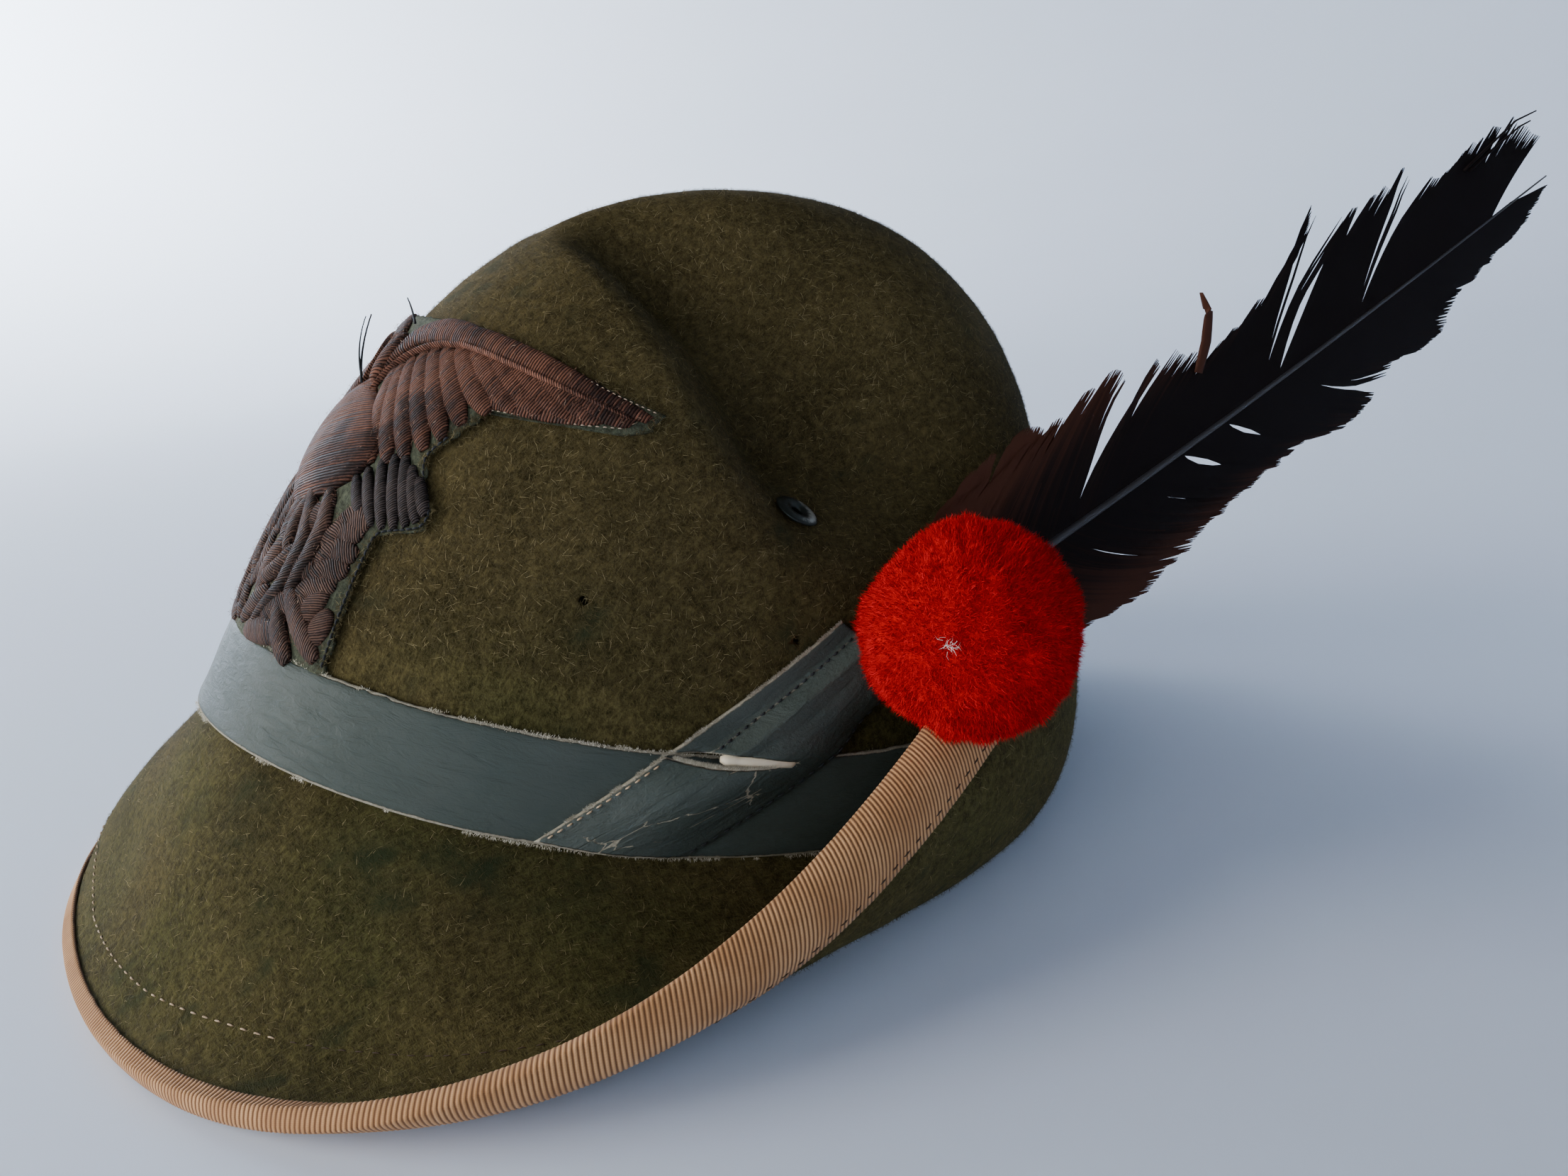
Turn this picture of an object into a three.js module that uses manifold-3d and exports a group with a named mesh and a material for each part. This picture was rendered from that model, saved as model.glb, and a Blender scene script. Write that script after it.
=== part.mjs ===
// Tyrolean hat of brushed olive wool felt with a turned up brim, standing as it would on a table.
// Millimetres, +Z up. The front of the hat looks along -Y and the wearer's left side is +X.
// Angles go round the hat in degrees: 0 at the front, 90 at the wearer's left, 180 at the back.

import * as THREE from 'three';
import { mergeVertices } from 'three/addons/utils/BufferGeometryUtils.js';
import Module from 'manifold-3d';

const wasm = await Module();
wasm.setup();

// Clearance between pieces that touch
const gap = 0.3;

// Felt crown
const feltThickness = 2.4;
const headHalfLength = 101;
const headHalfWidth = 83;
const crownHeight = 129;
const crownRoundness = 2.14;
const crownLean = 0.18;
const frontSlope = 3.1;

// Line where crown and brim meet, above the table
const seatHeight = 19.3;
const seatTilt = 0.218;
const seatSaddle = 5.8;

// Brim
const brimReach = 51;
const turnUpHeight = 62;
const brimCurve = 30;

// Pinches in the top of the crown
const pinchDepth = 16;

// Ribbon bound round the brim edge
const bindingThickness = 0.6;
const bindingOnTop = 3;
const bindingUnderneath = 11.5;

// Leather band
const bandWidth = 19.5;
const bandThickness = 1.4;

// Leather holder sewn over the band for the feather
const holderThickness = 1.2;
const holderSwell = 4.4;
const holderDrape = 9;
const slitOpening = 2.6;

// Holes in the felt
const pinHoleDiameter = 2;
const eyeletDiameter = 8.4;
const eyeletBore = 2.6;
const eyeletRim = 0.9;

// Badge sewn on the front
const patchThickness = 0.9;
const stitchingHeight = 2;

// Feathers
const quillDiameter = 3;
const featherLength = 278;
const featherRise = 19.2;
const featherSwing = 1.1;
const vaneThickness = 0.6;
const vaneWidth = 26;
const shortFeatherLength = 66;

// Wool pompom
const pompomDiameter = 44;
const lockCount = 26;

// Facets round the hat
const columnCount = 54;

// Brim sections, lengths as shares of brimReach, turnUpHeight and brimCurve, slopes in degrees
const brimSections = [
  { angle: 0, reach: 0.76, rise: 0.046, leaves: -43, arrives: -36, leaveCurve: 0.85, arriveCurve: 0.67 },
  { angle: 45, reach: 1.0, rise: 0.13, leaves: -33, arrives: 39, leaveCurve: 0.85, arriveCurve: 0.53 },
  { angle: 90, reach: 0.53, rise: 0.58, leaves: -54, arrives: 168, leaveCurve: 1.1, arriveCurve: 0.54 },
  { angle: 135, reach: 0.265, rise: 0.95, leaves: -49, arrives: 100, leaveCurve: 0.43, arriveCurve: 1.2 },
  { angle: 180, reach: 0.35, rise: 0.87, leaves: -56, arrives: 90, leaveCurve: 0.38, arriveCurve: 0.89 },
];

// Pinches, lengths as shares of headHalfLength, depth of pinchDepth, levels as shares up the crown
const pinches = [
  { side: 1, depth: 1, back: 0.15, rake: 0.35, steep: 0.17, gentle: 0.75, foot: 0.24, full: 0.42, fade: 0.66, top: 0.9 },
  { side: -1, depth: 0.85, back: 0.2, rake: 0.47, steep: 0.16, gentle: 0.7, foot: 0.25, full: 0.43, fade: 0.66, top: 0.88 },
];

// Borders of the holder from its foot to its tip, heights as shares of bandWidth
const holderBorders = [
  { along: 0, leftAngle: 57.2, leftHeight: 0.05, rightAngle: 73.6, rightHeight: 0.05 },
  { along: 0.42, leftAngle: 68.8, leftHeight: 1.0, rightAngle: 89, rightHeight: 1.02 },
  { along: 1, leftAngle: 87.2, leftHeight: 2.29, rightAngle: 97, rightHeight: 1.8 },
];

// Outline of the feather, places as shares of featherLength, widths as shares of vaneWidth
const vaneOutline = [
  { along: 0.3, upper: 0.45, lower: 0.1 },
  { along: 0.34, upper: 0.7, lower: 0.55 },
  { along: 0.38, upper: 0.8, lower: 1.04 },
  { along: 0.45, upper: 0.7, lower: 1.0 },
  { along: 0.52, upper: 0.61, lower: 0.9 },
  { along: 0.58, upper: 0.74, lower: 0.77 },
  { along: 0.66, upper: 0.96, lower: 0.84 },
  { along: 0.76, upper: 0.96, lower: 0.84 },
  { along: 0.84, upper: 0.72, lower: 0.7 },
  { along: 0.9, upper: 0.8, lower: 0.42 },
  { along: 0.98, upper: 0.8, lower: 0.22 },
];

// Half outline of the badge: degrees to either side of its middle, heights as shares of crownHeight
const badgeOutline = [
  { turn: 0, upper: 0.698, lower: 0.165 },
  { turn: 9, upper: 0.698, lower: 0.165 },
  { turn: 18, upper: 0.692, lower: 0.165 },
  { turn: 25, upper: 0.684, lower: 0.165 },
  { turn: 27, upper: 0.68, lower: 0.37 },
  { turn: 31, upper: 0.672, lower: 0.41 },
  { turn: 32.5, upper: 0.668, lower: 0.58 },
  { turn: 42, upper: 0.64, lower: 0.577 },
  { turn: 52, upper: 0.615, lower: 0.575 },
  { turn: 56, upper: 0.6, lower: 0.585 },
];
const badgeCentreAngle = 0.5;

const degrees = Math.PI / 180;

function clamp01(value) {
  return Math.min(Math.max(value, 0), 1);
}

function smoothStep(value) {
  const t = clamp01(value);
  return t * t * (3 - 2 * t);
}

// Value at a place in a table whose rows are joined by straight lines
function tableAt(rows, key, place, column) {
  let next = rows.findIndex((row) => row[key] >= place);
  next = next < 0 ? rows.length - 1 : Math.max(next, 1);
  const a = rows[next - 1];
  const b = rows[next];
  const share = clamp01((place - a[key]) / (b[key] - a[key]));
  return a[column] + (b[column] - a[column]) * share;
}

// Smooth even curve round the hat through the five brim sections, as a cosine series
function roundTheHat(column, angle) {
  const last = brimSections.length - 1;
  let value = 0;
  for (let k = 0; k <= last; k += 1) {
    let sum = 0;
    brimSections.forEach((section, j) => {
      const endWeight = j === 0 || j === last ? 0.5 : 1;
      sum += endWeight * section[column] * Math.cos((Math.PI * j * k) / last);
    });
    const termWeight = k === 0 || k === last ? 1 : 2;
    value += (termWeight / last) * sum * Math.cos(k * angle * degrees);
  }
  return value;
}

// Point of the line where crown and brim meet
function seatPoint(angle) {
  const y = -headHalfLength * Math.cos(angle * degrees);
  return new THREE.Vector3(
    headHalfWidth * Math.sin(angle * degrees),
    y,
    seatHeight - seatTilt * y + seatSaddle * Math.cos(2 * angle * degrees),
  );
}

// Level direction away from the head at an angle
function outwards(angle) {
  const x = Math.sin(angle * degrees) / headHalfWidth;
  const y = -Math.cos(angle * degrees) / headHalfLength;
  return new THREE.Vector3(x, y, 0).normalize();
}

// Crown before it is pinched: level 0 at the brim, 1 at the very top
function domePoint(angle, level) {
  const turn = level * 90 * degrees;
  const inShare = Math.max(Math.cos(turn), 0) ** (2 / crownRoundness);
  const height = crownHeight * Math.sin(turn) ** (2 / crownRoundness);
  const seat = seatPoint(angle);
  const y = seat.y * inShare;
  const saddle = seatSaddle * Math.cos(2 * angle * degrees) * (1 - Math.sin(turn)) * inShare;
  const front = Math.max(Math.cos(angle * degrees), 0) ** 1.5;
  const up = new THREE.Vector3(0, seatTilt, 1).normalize();
  const shift = crownLean * height + frontSlope * Math.sin(2 * Math.PI * level) * front;
  return new THREE.Vector3(seat.x * inShare, y + shift, seatHeight - seatTilt * y + saddle)
    .addScaledVector(up, height);
}

// Direction out of a surface given by a function of angle and level
function outOf(surface, angle, level) {
  const middle = Math.min(Math.max(level, 0.002), 0.985);
  const across = surface(angle + 0.5, middle).sub(surface(angle - 0.5, middle));
  const upwards = surface(angle, middle + 0.002).sub(surface(angle, middle - 0.002));
  return across.cross(upwards).normalize();
}

// How far the pinches push the crown in
function pinchAt(point, level) {
  const side = Math.sign(point.x) || 1;
  const pinch = pinches.find((row) => row.side === side);
  const valley = headHalfLength * (pinch.back - pinch.rake * (level - 0.326));
  const behind = (point.y - valley) / headHalfLength;
  const across = behind < 0
    ? smoothStep(1 + behind / pinch.steep)
    : Math.cos(0.5 * Math.PI * Math.min(behind / pinch.gentle, 1)) ** 2;
  const rising = smoothStep((level - pinch.foot) / (pinch.full - pinch.foot));
  const falling = 1 - smoothStep((level - pinch.fade) / (pinch.top - pinch.fade));
  const offRidge = smoothStep(Math.abs(point.x) / (0.3 * headHalfWidth));
  return pinchDepth * pinch.depth * across * rising * falling * offRidge;
}

// Outer face of the crown
function crownPoint(angle, level) {
  const point = domePoint(angle, level);
  return point.addScaledVector(outOf(domePoint, angle, level), -pinchAt(point, level));
}

// Point at a distance off the outer face of the crown
function offCrown(angle, level, distance) {
  return crownPoint(angle, level).addScaledVector(outOf(crownPoint, angle, level), distance);
}

// Level of the crown at a height above the brim
function levelAt(height) {
  return Math.asin(clamp01(height / crownHeight) ** (crownRoundness / 2)) / (90 * degrees);
}

// Upright section of the brim at an angle: a cubic curve with a table of distances from its edge
function brimSection(angle) {
  const seat = seatPoint(angle);
  const start = new THREE.Vector2(0, seat.z);
  const end = new THREE.Vector2(
    brimReach * roundTheHat('reach', angle),
    turnUpHeight * roundTheHat('rise', angle),
  );
  const leave = roundTheHat('leaves', angle) * degrees;
  const arrive = roundTheHat('arrives', angle) * degrees;
  const leaveLength = brimCurve * roundTheHat('leaveCurve', angle);
  const arriveLength = brimCurve * roundTheHat('arriveCurve', angle);
  const first = new THREE.Vector2(Math.cos(leave), Math.sin(leave)).multiplyScalar(leaveLength).add(start);
  const second = new THREE.Vector2(Math.cos(arrive), Math.sin(arrive)).multiplyScalar(-arriveLength).add(end);
  const curve = new THREE.CubicBezierCurve(start, first, second, end);
  const lengths = curve.getLengths(80);
  return { seat, side: outwards(angle), curve, length: lengths[lengths.length - 1] };
}

const sectionCache = new Map();

function sectionAt(angle) {
  if (!sectionCache.has(angle)) {
    sectionCache.set(angle, brimSection(angle));
  }
  return sectionCache.get(angle);
}

// Point of the brim by its distance in from the edge and its depth below the top face
function brimPoint(angle, fromEdge, below) {
  const { seat, side, curve, length } = sectionAt(angle);
  const place = clamp01(1 - fromEdge / length);
  const point = curve.getPointAt(place);
  const tangent = curve.getTangentAt(place);
  if (fromEdge < 0) {
    point.addScaledVector(tangent, -fromEdge);
  }
  point.x += tangent.y * below;
  point.y -= tangent.x * below;
  return new THREE.Vector3(seat.x + side.x * point.x, seat.y + side.y * point.x, point.y);
}

// Two triangles of a four sided face, cut along its shorter diagonal
function split(points, a, b, c, d) {
  const straight = points[a].distanceTo(points[c]) < points[b].distanceTo(points[d]) - 1e-6;
  return straight ? [[a, b, c], [a, c, d]] : [[a, b, d], [b, c, d]];
}

// Closed body from rings of points: rings of one point are poles, and a looped list closes on itself
function bodyFromRings(rings, looped) {
  const points = [];
  const starts = rings.map((ring) => {
    const start = points.length;
    points.push(...ring);
    return start;
  });
  const triangles = [];
  const last = looped ? rings.length : rings.length - 1;
  for (let r = 0; r < last; r += 1) {
    const s = (r + 1) % rings.length;
    const count = Math.max(rings[r].length, rings[s].length);
    for (let c = 0; c < count; c += 1) {
      const d = (c + 1) % count;
      const a = starts[r] + (rings[r].length > 1 ? c : 0);
      const b = starts[r] + (rings[r].length > 1 ? d : 0);
      const e = starts[s] + (rings[s].length > 1 ? c : 0);
      const f = starts[s] + (rings[s].length > 1 ? d : 0);
      if (a === b) {
        triangles.push([b, f, e]);
      } else if (e === f) {
        triangles.push([a, b, e]);
      } else {
        triangles.push(...split(points, a, b, f, e));
      }
    }
  }
  return geometryOf(points, triangles);
}

// Closed sheet between two grids of points of the same size
function bodyFromSheets(outer, inner) {
  const rows = outer.length;
  const columns = outer[0].length;
  const points = [...outer.flat(), ...inner.flat()];
  const out = (r, c) => r * columns + c;
  const back = (r, c) => rows * columns + r * columns + c;
  const triangles = [];
  const quad = (a, b, c, d) => triangles.push(...split(points, a, b, c, d));
  for (let r = 0; r < rows - 1; r += 1) {
    for (let c = 0; c < columns - 1; c += 1) {
      quad(out(r, c), out(r, c + 1), out(r + 1, c + 1), out(r + 1, c));
      quad(back(r, c), back(r + 1, c), back(r + 1, c + 1), back(r, c + 1));
    }
    quad(out(r, 0), out(r + 1, 0), back(r + 1, 0), back(r, 0));
    quad(out(r, columns - 1), back(r, columns - 1), back(r + 1, columns - 1), out(r + 1, columns - 1));
  }
  for (let c = 0; c < columns - 1; c += 1) {
    quad(out(0, c), back(0, c), back(0, c + 1), out(0, c + 1));
    quad(out(rows - 1, c), out(rows - 1, c + 1), back(rows - 1, c + 1), back(rows - 1, c));
  }
  return geometryOf(points, triangles);
}

// Geometry whose faces point out, whichever way its triangles were listed
function geometryOf(points, triangles) {
  let volume = 0;
  triangles.forEach(([a, b, c]) => {
    volume += points[a].dot(points[b].clone().cross(points[c])) / 6;
  });
  const turned = volume < 0 ? triangles.map(([a, b, c]) => [a, c, b]) : triangles;
  const geometry = new THREE.BufferGeometry().setFromPoints(points);
  geometry.setIndex(turned.flat());
  return geometry;
}

// Solid for joining and cutting
function solidOf(geometry) {
  const plain = geometry.clone();
  plain.deleteAttribute('normal');
  plain.deleteAttribute('uv');
  const merged = mergeVertices(plain, 1e-4);
  return new wasm.Manifold(new wasm.Mesh({
    numProp: 3,
    vertProperties: new Float32Array(merged.attributes.position.array),
    triVerts: new Uint32Array(merged.index.array),
  }));
}

// Geometry of a joined or cut solid
function geometryFrom(solid) {
  const mesh = solid.getMesh();
  const geometry = new THREE.BufferGeometry();
  geometry.setAttribute('position', new THREE.BufferAttribute(new Float32Array(mesh.vertProperties), 3));
  geometry.setIndex(Array.from(mesh.triVerts));
  return geometry;
}

function joined(geometries) {
  return geometries.map(solidOf).reduce((whole, piece) => whole.add(piece));
}

// Numbers from 0 to 1 in equal steps
function steps(count) {
  return Array.from({ length: count + 1 }, (_, i) => i / count);
}

function columnAngles() {
  return Array.from({ length: columnCount }, (_, i) => (i * 360) / columnCount);
}

// Cylinder standing on the crown, along the direction out of it
function drillAt(angle, level, diameter) {
  const drill = new THREE.CylinderGeometry(diameter / 2, diameter / 2, 8 * feltThickness, 10);
  const out = outOf(crownPoint, angle, level);
  const turn = new THREE.Quaternion().setFromUnitVectors(new THREE.Vector3(0, 1, 0), out);
  const place = offCrown(angle, level, -feltThickness / 2);
  return drill.applyMatrix4(new THREE.Matrix4().compose(place, turn, new THREE.Vector3(1, 1, 1)));
}

const eyelets = [
  { name: 'vent_eyelet_left', angle: 81.1, level: 0.318 },
  { name: 'vent_eyelet_right', angle: -81.1, level: 0.318 },
];
const pinHoles = [
  { angle: 55.2, level: 0.206 },
  { angle: 82, level: 0.19 },
];

// Distances of the brim's rows from its edge, up to the line where it meets the crown
function brimRows(angle) {
  const rest = sectionAt(angle).length - bindingUnderneath;
  const inner = steps(7).map((share) => bindingUnderneath + rest * (1 - (1 - share) ** 1.5));
  return [0, bindingOnTop, ...inner];
}

// Corner inside the hat where the two sheets meet
function innerSeat(angle) {
  const intoHead = outOf(crownPoint, angle, 0).negate();
  const top = brimPoint(angle, sectionAt(angle).length, 0);
  const under = brimPoint(angle, sectionAt(angle).length, 1).sub(top);
  return top.addScaledVector(intoHead.add(under).normalize(), feltThickness);
}

// Crown and brim blocked from one felt sheet, pinched, pierced and flattened where it rests
function feltBody() {
  const outerLevels = [1, 0.93, 0.86, 0.79, 0.72, 0.65, 0.58, 0.52, 0.45, 0.38, 0.31, 0.24, 0.16];
  outerLevels.push(levelAt(bandWidth), levelAt(0.5 * bandWidth));
  const innerLevels = [levelAt(bandWidth), 0.24, 0.31, 0.38, 0.45, 0.6, 0.8, 1];
  const angles = columnAngles();
  const brimCount = brimRows(0).length;
  const rings = [];
  outerLevels.forEach((level) => {
    rings.push(level === 1 ? [crownPoint(0, 1)] : angles.map((angle) => crownPoint(angle, level)));
  });
  for (let row = brimCount - 1; row >= 0; row -= 1) {
    rings.push(angles.map((angle) => brimPoint(angle, brimRows(angle)[row], 0)));
  }
  for (let row = 0; row < brimCount - 1; row += 1) {
    rings.push(angles.map((angle) => brimPoint(angle, brimRows(angle)[row], feltThickness)));
  }
  rings.push(angles.map((angle) => innerSeat(angle)));
  innerLevels.forEach((level) => {
    rings.push(level === 1
      ? [offCrown(0, 1, -feltThickness)]
      : angles.map((angle) => offCrown(angle, level, -feltThickness)));
  });
  let felt = solidOf(bodyFromRings(rings, false));
  eyelets.forEach(({ angle, level }) => {
    felt = felt.subtract(solidOf(drillAt(angle, level, eyeletBore + 2 * eyeletRim + 2 * gap)));
  });
  pinHoles.forEach(({ angle, level }) => {
    felt = felt.subtract(solidOf(drillAt(angle, level, pinHoleDiameter)));
  });
  const table = new THREE.BoxGeometry(4 * headHalfLength, 4 * headHalfLength, 20).translate(0, 0, -10);
  return felt.subtract(solidOf(table));
}

// Section of a strip folded over the brim edge, as distances in from the edge and below the top face
function foldedSection(off, onTop, underneath) {
  const bottom = feltThickness + off;
  const turn = 0.7 * off;
  return [
    ...onTop.map((fromEdge) => [fromEdge, -off]),
    [-turn, -turn],
    [-off, 0.5 * feltThickness],
    [-turn, feltThickness + turn],
    ...underneath.map((fromEdge) => [fromEdge, bottom]),
  ];
}

// Ribbed ribbon folded over the brim edge, wider underneath
function brimBinding() {
  const onTop = [bindingOnTop, 0];
  const underneath = [0, bindingOnTop, bindingUnderneath];
  const outer = foldedSection(gap + bindingThickness, onTop, underneath);
  const inner = foldedSection(gap, onTop, underneath).reverse();
  const rings = [...outer, ...inner].map(([fromEdge, below]) => (
    columnAngles().map((angle) => brimPoint(angle, fromEdge, below))
  ));
  return bodyFromRings(rings, true);
}

// Leather band lying round the foot of the crown
function hatBand() {
  const heights = [0.03, 0.5, 1].map((share) => levelAt(share * bandWidth));
  const inner = heights.map((level) => [level, gap]);
  const outer = heights.map((level) => [level, gap + bandThickness]).reverse();
  const rings = [...inner, ...outer].map(([level, off]) => (
    columnAngles().map((angle) => offCrown(angle, level, off))
  ));
  return bodyFromRings(rings, true);
}

// Place on the holder, along it from its foot and across it from its left border
function holderPlace(along, across) {
  const left = tableAt(holderBorders, 'along', along, 'leftAngle');
  const right = tableAt(holderBorders, 'along', along, 'rightAngle');
  const leftHeight = bandWidth * tableAt(holderBorders, 'along', along, 'leftHeight');
  const rightHeight = bandWidth * tableAt(holderBorders, 'along', along, 'rightHeight');
  return {
    angle: left + (right - left) * across,
    height: leftHeight + (rightHeight - leftHeight) * across,
  };
}

// Gap under the holder's leather: it clears the band and the felt, and is draped over the quill
function holderLift(along, across, angle, height) {
  const onBand = gap + bandThickness + gap;
  const overBand = 1 - smoothStep((height - 1.05 * bandWidth) / (0.35 * bandWidth));
  const low = gap + (onBand - gap) * overBand;
  const rim = 0.18 * smoothStep((along - 0.3) / 0.2);
  const inside = clamp01((across - rim) / (1 - rim));
  const swell = holderSwell * Math.sin(Math.PI * inside) ** 1.2 * (0.4 + 0.6 * smoothStep(along / 0.35));
  const foot = crownPoint(angle, levelAt(height));
  const out = outOf(crownPoint, angle, levelAt(height));
  const frame = featherFrame();
  const reach = Math.max(foot.clone().sub(frame.seat).dot(frame.along), 0);
  const toQuill = featherPoint(frame, reach, 0, 0).sub(foot);
  const above = toQuill.dot(out);
  const beside = toQuill.addScaledVector(out, -above).length();
  const drape = 1 - smoothStep((beside - quillDiameter) / holderDrape);
  const overQuill = (above + 0.5 * quillDiameter + gap - low) * drape * smoothStep(inside / 0.2);
  return low + Math.max(swell, overQuill) * smoothStep((1 - across) / 0.08 + 0.15);
}

function holderSheet(below) {
  return steps(9).map((along) => steps(8).map((across) => {
    const { angle, height } = holderPlace(along, across);
    const lift = holderLift(along, across, angle, height);
    return offCrown(angle, levelAt(height), lift + (below ? 0 : holderThickness));
  }));
}

// Lens shaped slit that lies open just above the band
function slitBody() {
  const from = holderPlace(0.42, 0);
  const to = holderPlace(0.42, 0.78);
  const rings = steps(8).map((share) => {
    const angle = from.angle - 1 + (to.angle - from.angle + 1) * share;
    const open = 0.3 + slitOpening * Math.sin(Math.PI * (0.12 + 0.88 * share));
    const low = from.height + 0.2;
    return [[low, 0], [low, 14], [low + open, 14], [low + open, 0]].map(([height, off]) => (
      offCrown(angle, levelAt(height), off)
    ));
  });
  const middle = (ring) => ring.reduce((sum, p) => sum.add(p), new THREE.Vector3()).divideScalar(ring.length);
  return bodyFromRings([[middle(rings[0])], ...rings, [middle(rings[rings.length - 1])]], false);
}

// Leather holder sewn slantwise over the band, slit where the quill shows
function featherHolder() {
  const leather = solidOf(bodyFromSheets(holderSheet(false), holderSheet(true)));
  return leather.subtract(solidOf(slitBody()));
}

// Rolled metal ring through the felt
function eyeletGeometry() {
  const bore = eyeletBore / 2;
  const barrel = bore + eyeletRim;
  const face = 5 * gap;
  const rear = -feltThickness - 5 * gap;
  const profile = [
    [bore, rear - eyeletRim],
    [0.42 * eyeletDiameter, rear - eyeletRim],
    [0.42 * eyeletDiameter, rear],
    [barrel, rear],
    [barrel, face],
    [0.5 * eyeletDiameter, face],
    [0.46 * eyeletDiameter, face + eyeletRim],
    [bore, face + 0.6 * eyeletRim],
    [bore, rear - eyeletRim],
  ].map(([radius, height]) => new THREE.Vector2(radius, height));
  return new THREE.LatheGeometry(profile, 12);
}

function placeEyelet(mesh, { angle, level }) {
  mesh.quaternion.setFromUnitVectors(new THREE.Vector3(0, 1, 0), outOf(crownPoint, angle, level));
  mesh.position.copy(crownPoint(angle, level));
  return mesh;
}

// Layer of the badge between its borders, drawn in by a margin, with its own height at each place
function badgeLayer(margin, bottom, topAt) {
  const shrink = margin / headHalfLength / degrees;
  const half = badgeOutline.map(({ turn, upper, lower }) => ({
    turn: turn * (1 - shrink / 57),
    upper: crownHeight * upper - margin,
    lower: Math.min(crownHeight * lower + margin, crownHeight * upper - 1.2 * margin),
  }));
  const columns = [...half.slice(1).reverse().map((row) => ({ ...row, turn: -row.turn })), ...half];
  const grid = (offAt) => columns.map(({ turn, upper, lower }) => steps(6).map((across) => {
    const level = levelAt(lower + (upper - lower) * across);
    return offCrown(badgeCentreAngle + turn, level, offAt(across, turn));
  }));
  return bodyFromSheets(grid(topAt), grid(() => bottom));
}

// Felt patch that the bird is sewn on
function badgePatch() {
  return badgeLayer(0, 2 * gap, () => 2 * gap + patchThickness);
}

// Padded stitching of a plain spread bird over leaves, low at its borders
function badgeBird() {
  const bottom = 4 * gap + patchThickness;
  const topAt = (across, turn) => {
    const body = 1 - smoothStep(Math.abs(turn) / 14);
    return bottom + stitchingHeight * (0.35 + 0.4 * Math.sin(Math.PI * across) + 0.25 * body);
  };
  return badgeLayer(1.5, bottom, topAt);
}

// Start of the quill inside the holder and the directions of the feather
function featherFrame() {
  const angle = 77.6;
  const seat = offCrown(angle, levelAt(1.07 * bandWidth), gap + bandThickness + gap + 0.5 * quillDiameter);
  const along = new THREE.Vector3(
    -Math.sin(featherSwing * degrees) * Math.cos(featherRise * degrees),
    Math.cos(featherSwing * degrees) * Math.cos(featherRise * degrees),
    Math.sin(featherRise * degrees),
  );
  const up = new THREE.Vector3(0, 0, 1).addScaledVector(along, -along.z).normalize();
  return { seat, along, up, side: along.clone().cross(up) };
}

// Point in the feather's own frame: along the quill, up across the vane, and out of its face
function featherPoint(frame, along, up, out) {
  return frame.seat.clone()
    .addScaledVector(frame.along, along)
    .addScaledVector(frame.up, up)
    .addScaledVector(frame.side, out);
}

// Tapering quill from its foot to the tip
function quillBody(frame, from, to, thick) {
  const sides = 6;
  const rings = steps(6).map((share) => {
    const along = from + (to - from) * share;
    const radius = 0.5 * thick * (1 - 0.75 * share);
    return Array.from({ length: sides }, (_, i) => {
      const turn = (i * 2 * Math.PI) / sides;
      return featherPoint(frame, along, radius * Math.cos(turn), radius * Math.sin(turn));
    });
  });
  return bodyFromRings([[featherPoint(frame, from, 0, 0)], ...rings, [featherPoint(frame, to, 0, 0)]], false);
}

// Vane whose barbs run out and forward from the quill, with a step between each lock of barbs
function vaneSheet(frame, outline, length, width, locks) {
  const first = outline[0].along;
  const last = outline[outline.length - 1].along;
  const places = steps(locks).flatMap((share) => [share, share + 0.75 / locks]).slice(0, -1);
  const grid = (out) => places.map((share, i) => {
    const place = first + (last - first) * share;
    const notch = i % 2 === 0 ? 1 : 0.86;
    return [-1, -0.5, 0, 0.5, 1].map((across) => {
      const column = across > 0 ? 'upper' : 'lower';
      const reach = width * notch * tableAt(outline, 'along', place, column) * Math.abs(across);
      const sweep = 0.6 * width * (1 - Math.abs(across));
      return featherPoint(frame, place * length - sweep, Math.sign(across) * reach, out);
    });
  });
  return bodyFromSheets(grid(0.5 * vaneThickness), grid(-0.5 * vaneThickness));
}

// Long dark feather with its bare quill lying in the holder
function longFeather() {
  const frame = featherFrame();
  const vane = vaneSheet(frame, vaneOutline, featherLength, vaneWidth, 11);
  return joined([quillBody(frame, 0, featherLength, quillDiameter), vane]);
}

// Short brown feather behind the long one
const shortOutline = [
  { along: 0.35, upper: 0.45, lower: 0.3 },
  { along: 0.6, upper: 0.62, lower: 0.45 },
  { along: 0.9, upper: 0.45, lower: 0.35 },
];

function shortFeather() {
  const main = featherFrame();
  const lean = 9 * degrees;
  const along = main.along.clone().multiplyScalar(Math.cos(lean)).addScaledVector(main.up, Math.sin(lean));
  const up = main.up.clone().multiplyScalar(Math.cos(lean)).addScaledVector(main.along, -Math.sin(lean));
  const seat = featherPoint(main, 0.135 * featherLength, 2 * quillDiameter, -0.7 * quillDiameter - gap);
  const frame = { seat, along, up, side: main.side };
  const vane = vaneSheet(frame, shortOutline, shortFeatherLength, vaneWidth, 5);
  return joined([quillBody(frame, 0, shortFeatherLength, 0.4 * quillDiameter), vane]);
}

// Middle of the pompom, outside the quill and over the edge of the brim
function pompomCentre() {
  const frame = featherFrame();
  return featherPoint(frame, 0.158 * featherLength, 8, 0.5 * quillDiameter + gap + 0.5 * pompomDiameter);
}

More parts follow.
